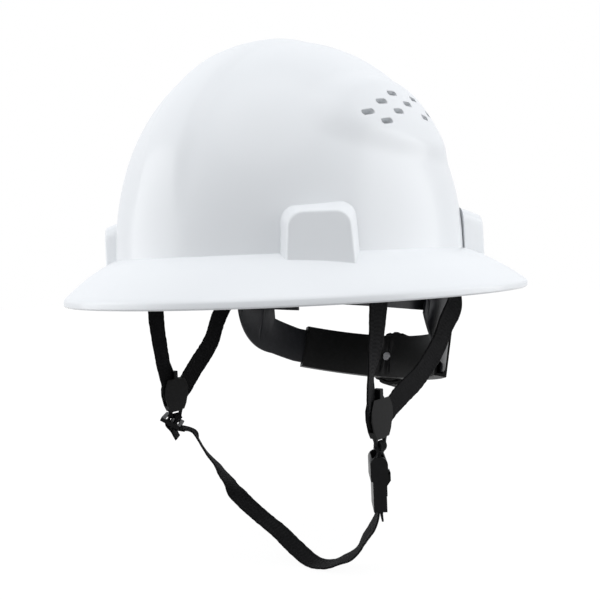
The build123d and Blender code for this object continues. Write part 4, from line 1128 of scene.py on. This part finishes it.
class HAT_OT_stage(bpy.types.Operator):
    """Set the camera, the pale floor and the soft lights"""

    bl_idname = "hat.stage"
    bl_label = "Stage"

    def execute(self, context):
        scene = context.scene
        sizes = scene.hat_stage
        height, roll = math.radians(VIEW_HEIGHT), math.radians(VIEW_ROLL)
        front, right = turned(VIEW_TURN)
        back = front * math.cos(height) + Vector((0, 0, math.sin(height)))
        up = back.cross(right)
        aim = (right * VIEW_AIM[0] + Vector((0, 0, VIEW_AIM[1]))) * MM
        camera = bpy.data.objects.new("view", bpy.data.cameras.new("view"))
        camera.data.lens = VIEW_LENS
        camera.data.sensor_width = VIEW_SENSOR
        x_way = right * math.cos(roll) + up * math.sin(roll)
        y_way = up * math.cos(roll) - right * math.sin(roll)
        ways = Matrix((x_way, y_way, back)).transposed().to_4x4()
        camera.matrix_world = Matrix.Translation(aim + back * VIEW_DISTANCE * MM) @ ways
        scene.collection.objects.link(camera)
        scene.camera = camera
        self.floor(sizes)
        self.lights(scene, sizes, right, back)
        scene.view_settings.view_transform = "Standard"
        return {"FINISHED"}

    def floor(self, sizes):
        """A pale floor that shows as white, keeps a faint shadow and is clear from below."""
        bm = bmesh.new()
        low = cad_box[0].z - FLOOR_GAP
        bmesh.ops.create_grid(bm, x_segments=2, y_segments=2, size=sizes.floor)
        bmesh.ops.translate(bm, verts=bm.verts[:], vec=(0, 0, low))
        finish = Finish("floor_pale")
        shade = finish.blend(finish.noise(2.0), (0.34, 0.34, 0.34, 1), (0.37, 0.37, 0.37, 1))
        pale = finish.node("ShaderNodeBsdfDiffuse", {}, {"Color": shade})
        white = finish.node("ShaderNodeEmission", {}, {"Color": (1, 1, 1, 1), "Strength": FLOOR_WHITE})
        seen = finish.ray("Camera").math("MAXIMUM", finish.ray("Glossy"))
        seen = seen.math("MAXIMUM", finish.ray("Transmission")) * FLOOR_SEEN
        above = finish.node("ShaderNodeMixShader", {}, {0: seen, 1: pale, 2: white})
        below = finish.node("ShaderNodeNewGeometry", output="Backfacing")
        clear = finish.node("ShaderNodeBsdfTransparent")
        finish.finish(finish.node("ShaderNodeMixShader", {}, {0: below, 1: above, 2: clear}))
        finished(bm, "floor", finish.material)

    def lights(self, scene, sizes, right, back):
        """Large soft lamps at both sides and above, and a pale surround that is dim low behind the camera."""
        for name, (place, size, share) in LAMPS.items():
            data = bpy.data.lights.new(name, "AREA")
            data.shape = "DISK"
            data.size = size
            data.energy = sizes.soft_light * share
            lamp = bpy.data.objects.new(name, data)
            lamp.location = right * place[0] + back * place[1] + Vector((0, 0, place[2]))
            lamp.rotation_mode = "QUATERNION"
            lamp.rotation_quaternion = lamp.location.to_track_quat("Z", "Y")
            scene.collection.objects.link(lamp)
        world = Finish("surround", "worlds")
        way = world.node("ShaderNodeTexCoord", output="Generated")
        dim_way = (back - Vector((0, 0, DIM_WAY_DROP))).normalized()
        dot = {"operation": "DOT_PRODUCT"}
        toward = world.node("ShaderNodeVectorMath", dot, {0: way, 1: dim_way}, output="Value")
        ends = {"To Min": sizes.world + sizes.sides, "To Max": sizes.world}
        strength = world.node("ShaderNodeMapRange", {}, {"Value": toward, **ends})
        even = world.node("ShaderNodeBackground", {}, {"Color": SURROUND, "Strength": strength})
        white = world.node("ShaderNodeBackground", {}, {"Color": (1, 1, 1, 1)})
        seen = world.ray("Camera").math("MAXIMUM", world.ray("Transmission"))
        mixed = world.node("ShaderNodeMixShader", {}, {0: seen, 1: even, 2: white})
        scene.world = world.finish(mixed, "ShaderNodeOutputWorld")


class HAT_PT_panel(bpy.types.Panel):
    """The hard hat's pieces and sizes"""

    bl_idname = "HAT_PT_panel"
    bl_label = "Hard Hat"
    bl_space_type = "VIEW_3D"
    bl_region_type = "UI"
    bl_category = "Hard Hat"

    def draw(self, context):
        for operator in OPERATORS:
            self.layout.operator(operator.bl_idname)
        for group in GROUPS:
            box = self.layout.box()
            settings = getattr(context.scene, group)
            for name in GROUPS[group].__annotations__:
                box.prop(settings, name)


GROUPS = {
    "hat_shell": HatShellSizes,
    "hat_webbing": HatWebbingSizes,
    "hat_plastics": HatPlasticSizes,
    "hat_stage": HatStageSizes,
}
OPERATORS = (
    HAT_OT_stage, HAT_OT_shell, HAT_OT_webbing, HAT_OT_crown_straps, HAT_OT_brow_pad, HAT_OT_plastics,
)


def register():
    for item in (*GROUPS.values(), *OPERATORS, HAT_PT_panel):
        bpy.utils.register_class(item)
    for name, group in GROUPS.items():
        setattr(bpy.types.Scene, name, PointerProperty(type=group))


def unregister():
    for name in GROUPS:
        delattr(bpy.types.Scene, name)
    for item in (HAT_PT_panel, *reversed(OPERATORS), *reversed(list(GROUPS.values()))):
        bpy.utils.unregister_class(item)


def main():
    register()
    bpy.ops.hat.stage()
    bpy.ops.hat.shell()
    bpy.ops.hat.webbing()
    bpy.ops.hat.crown_straps()
    bpy.ops.hat.brow_pad()
    bpy.ops.hat.plastics()


if __name__ == "__main__":
    main()
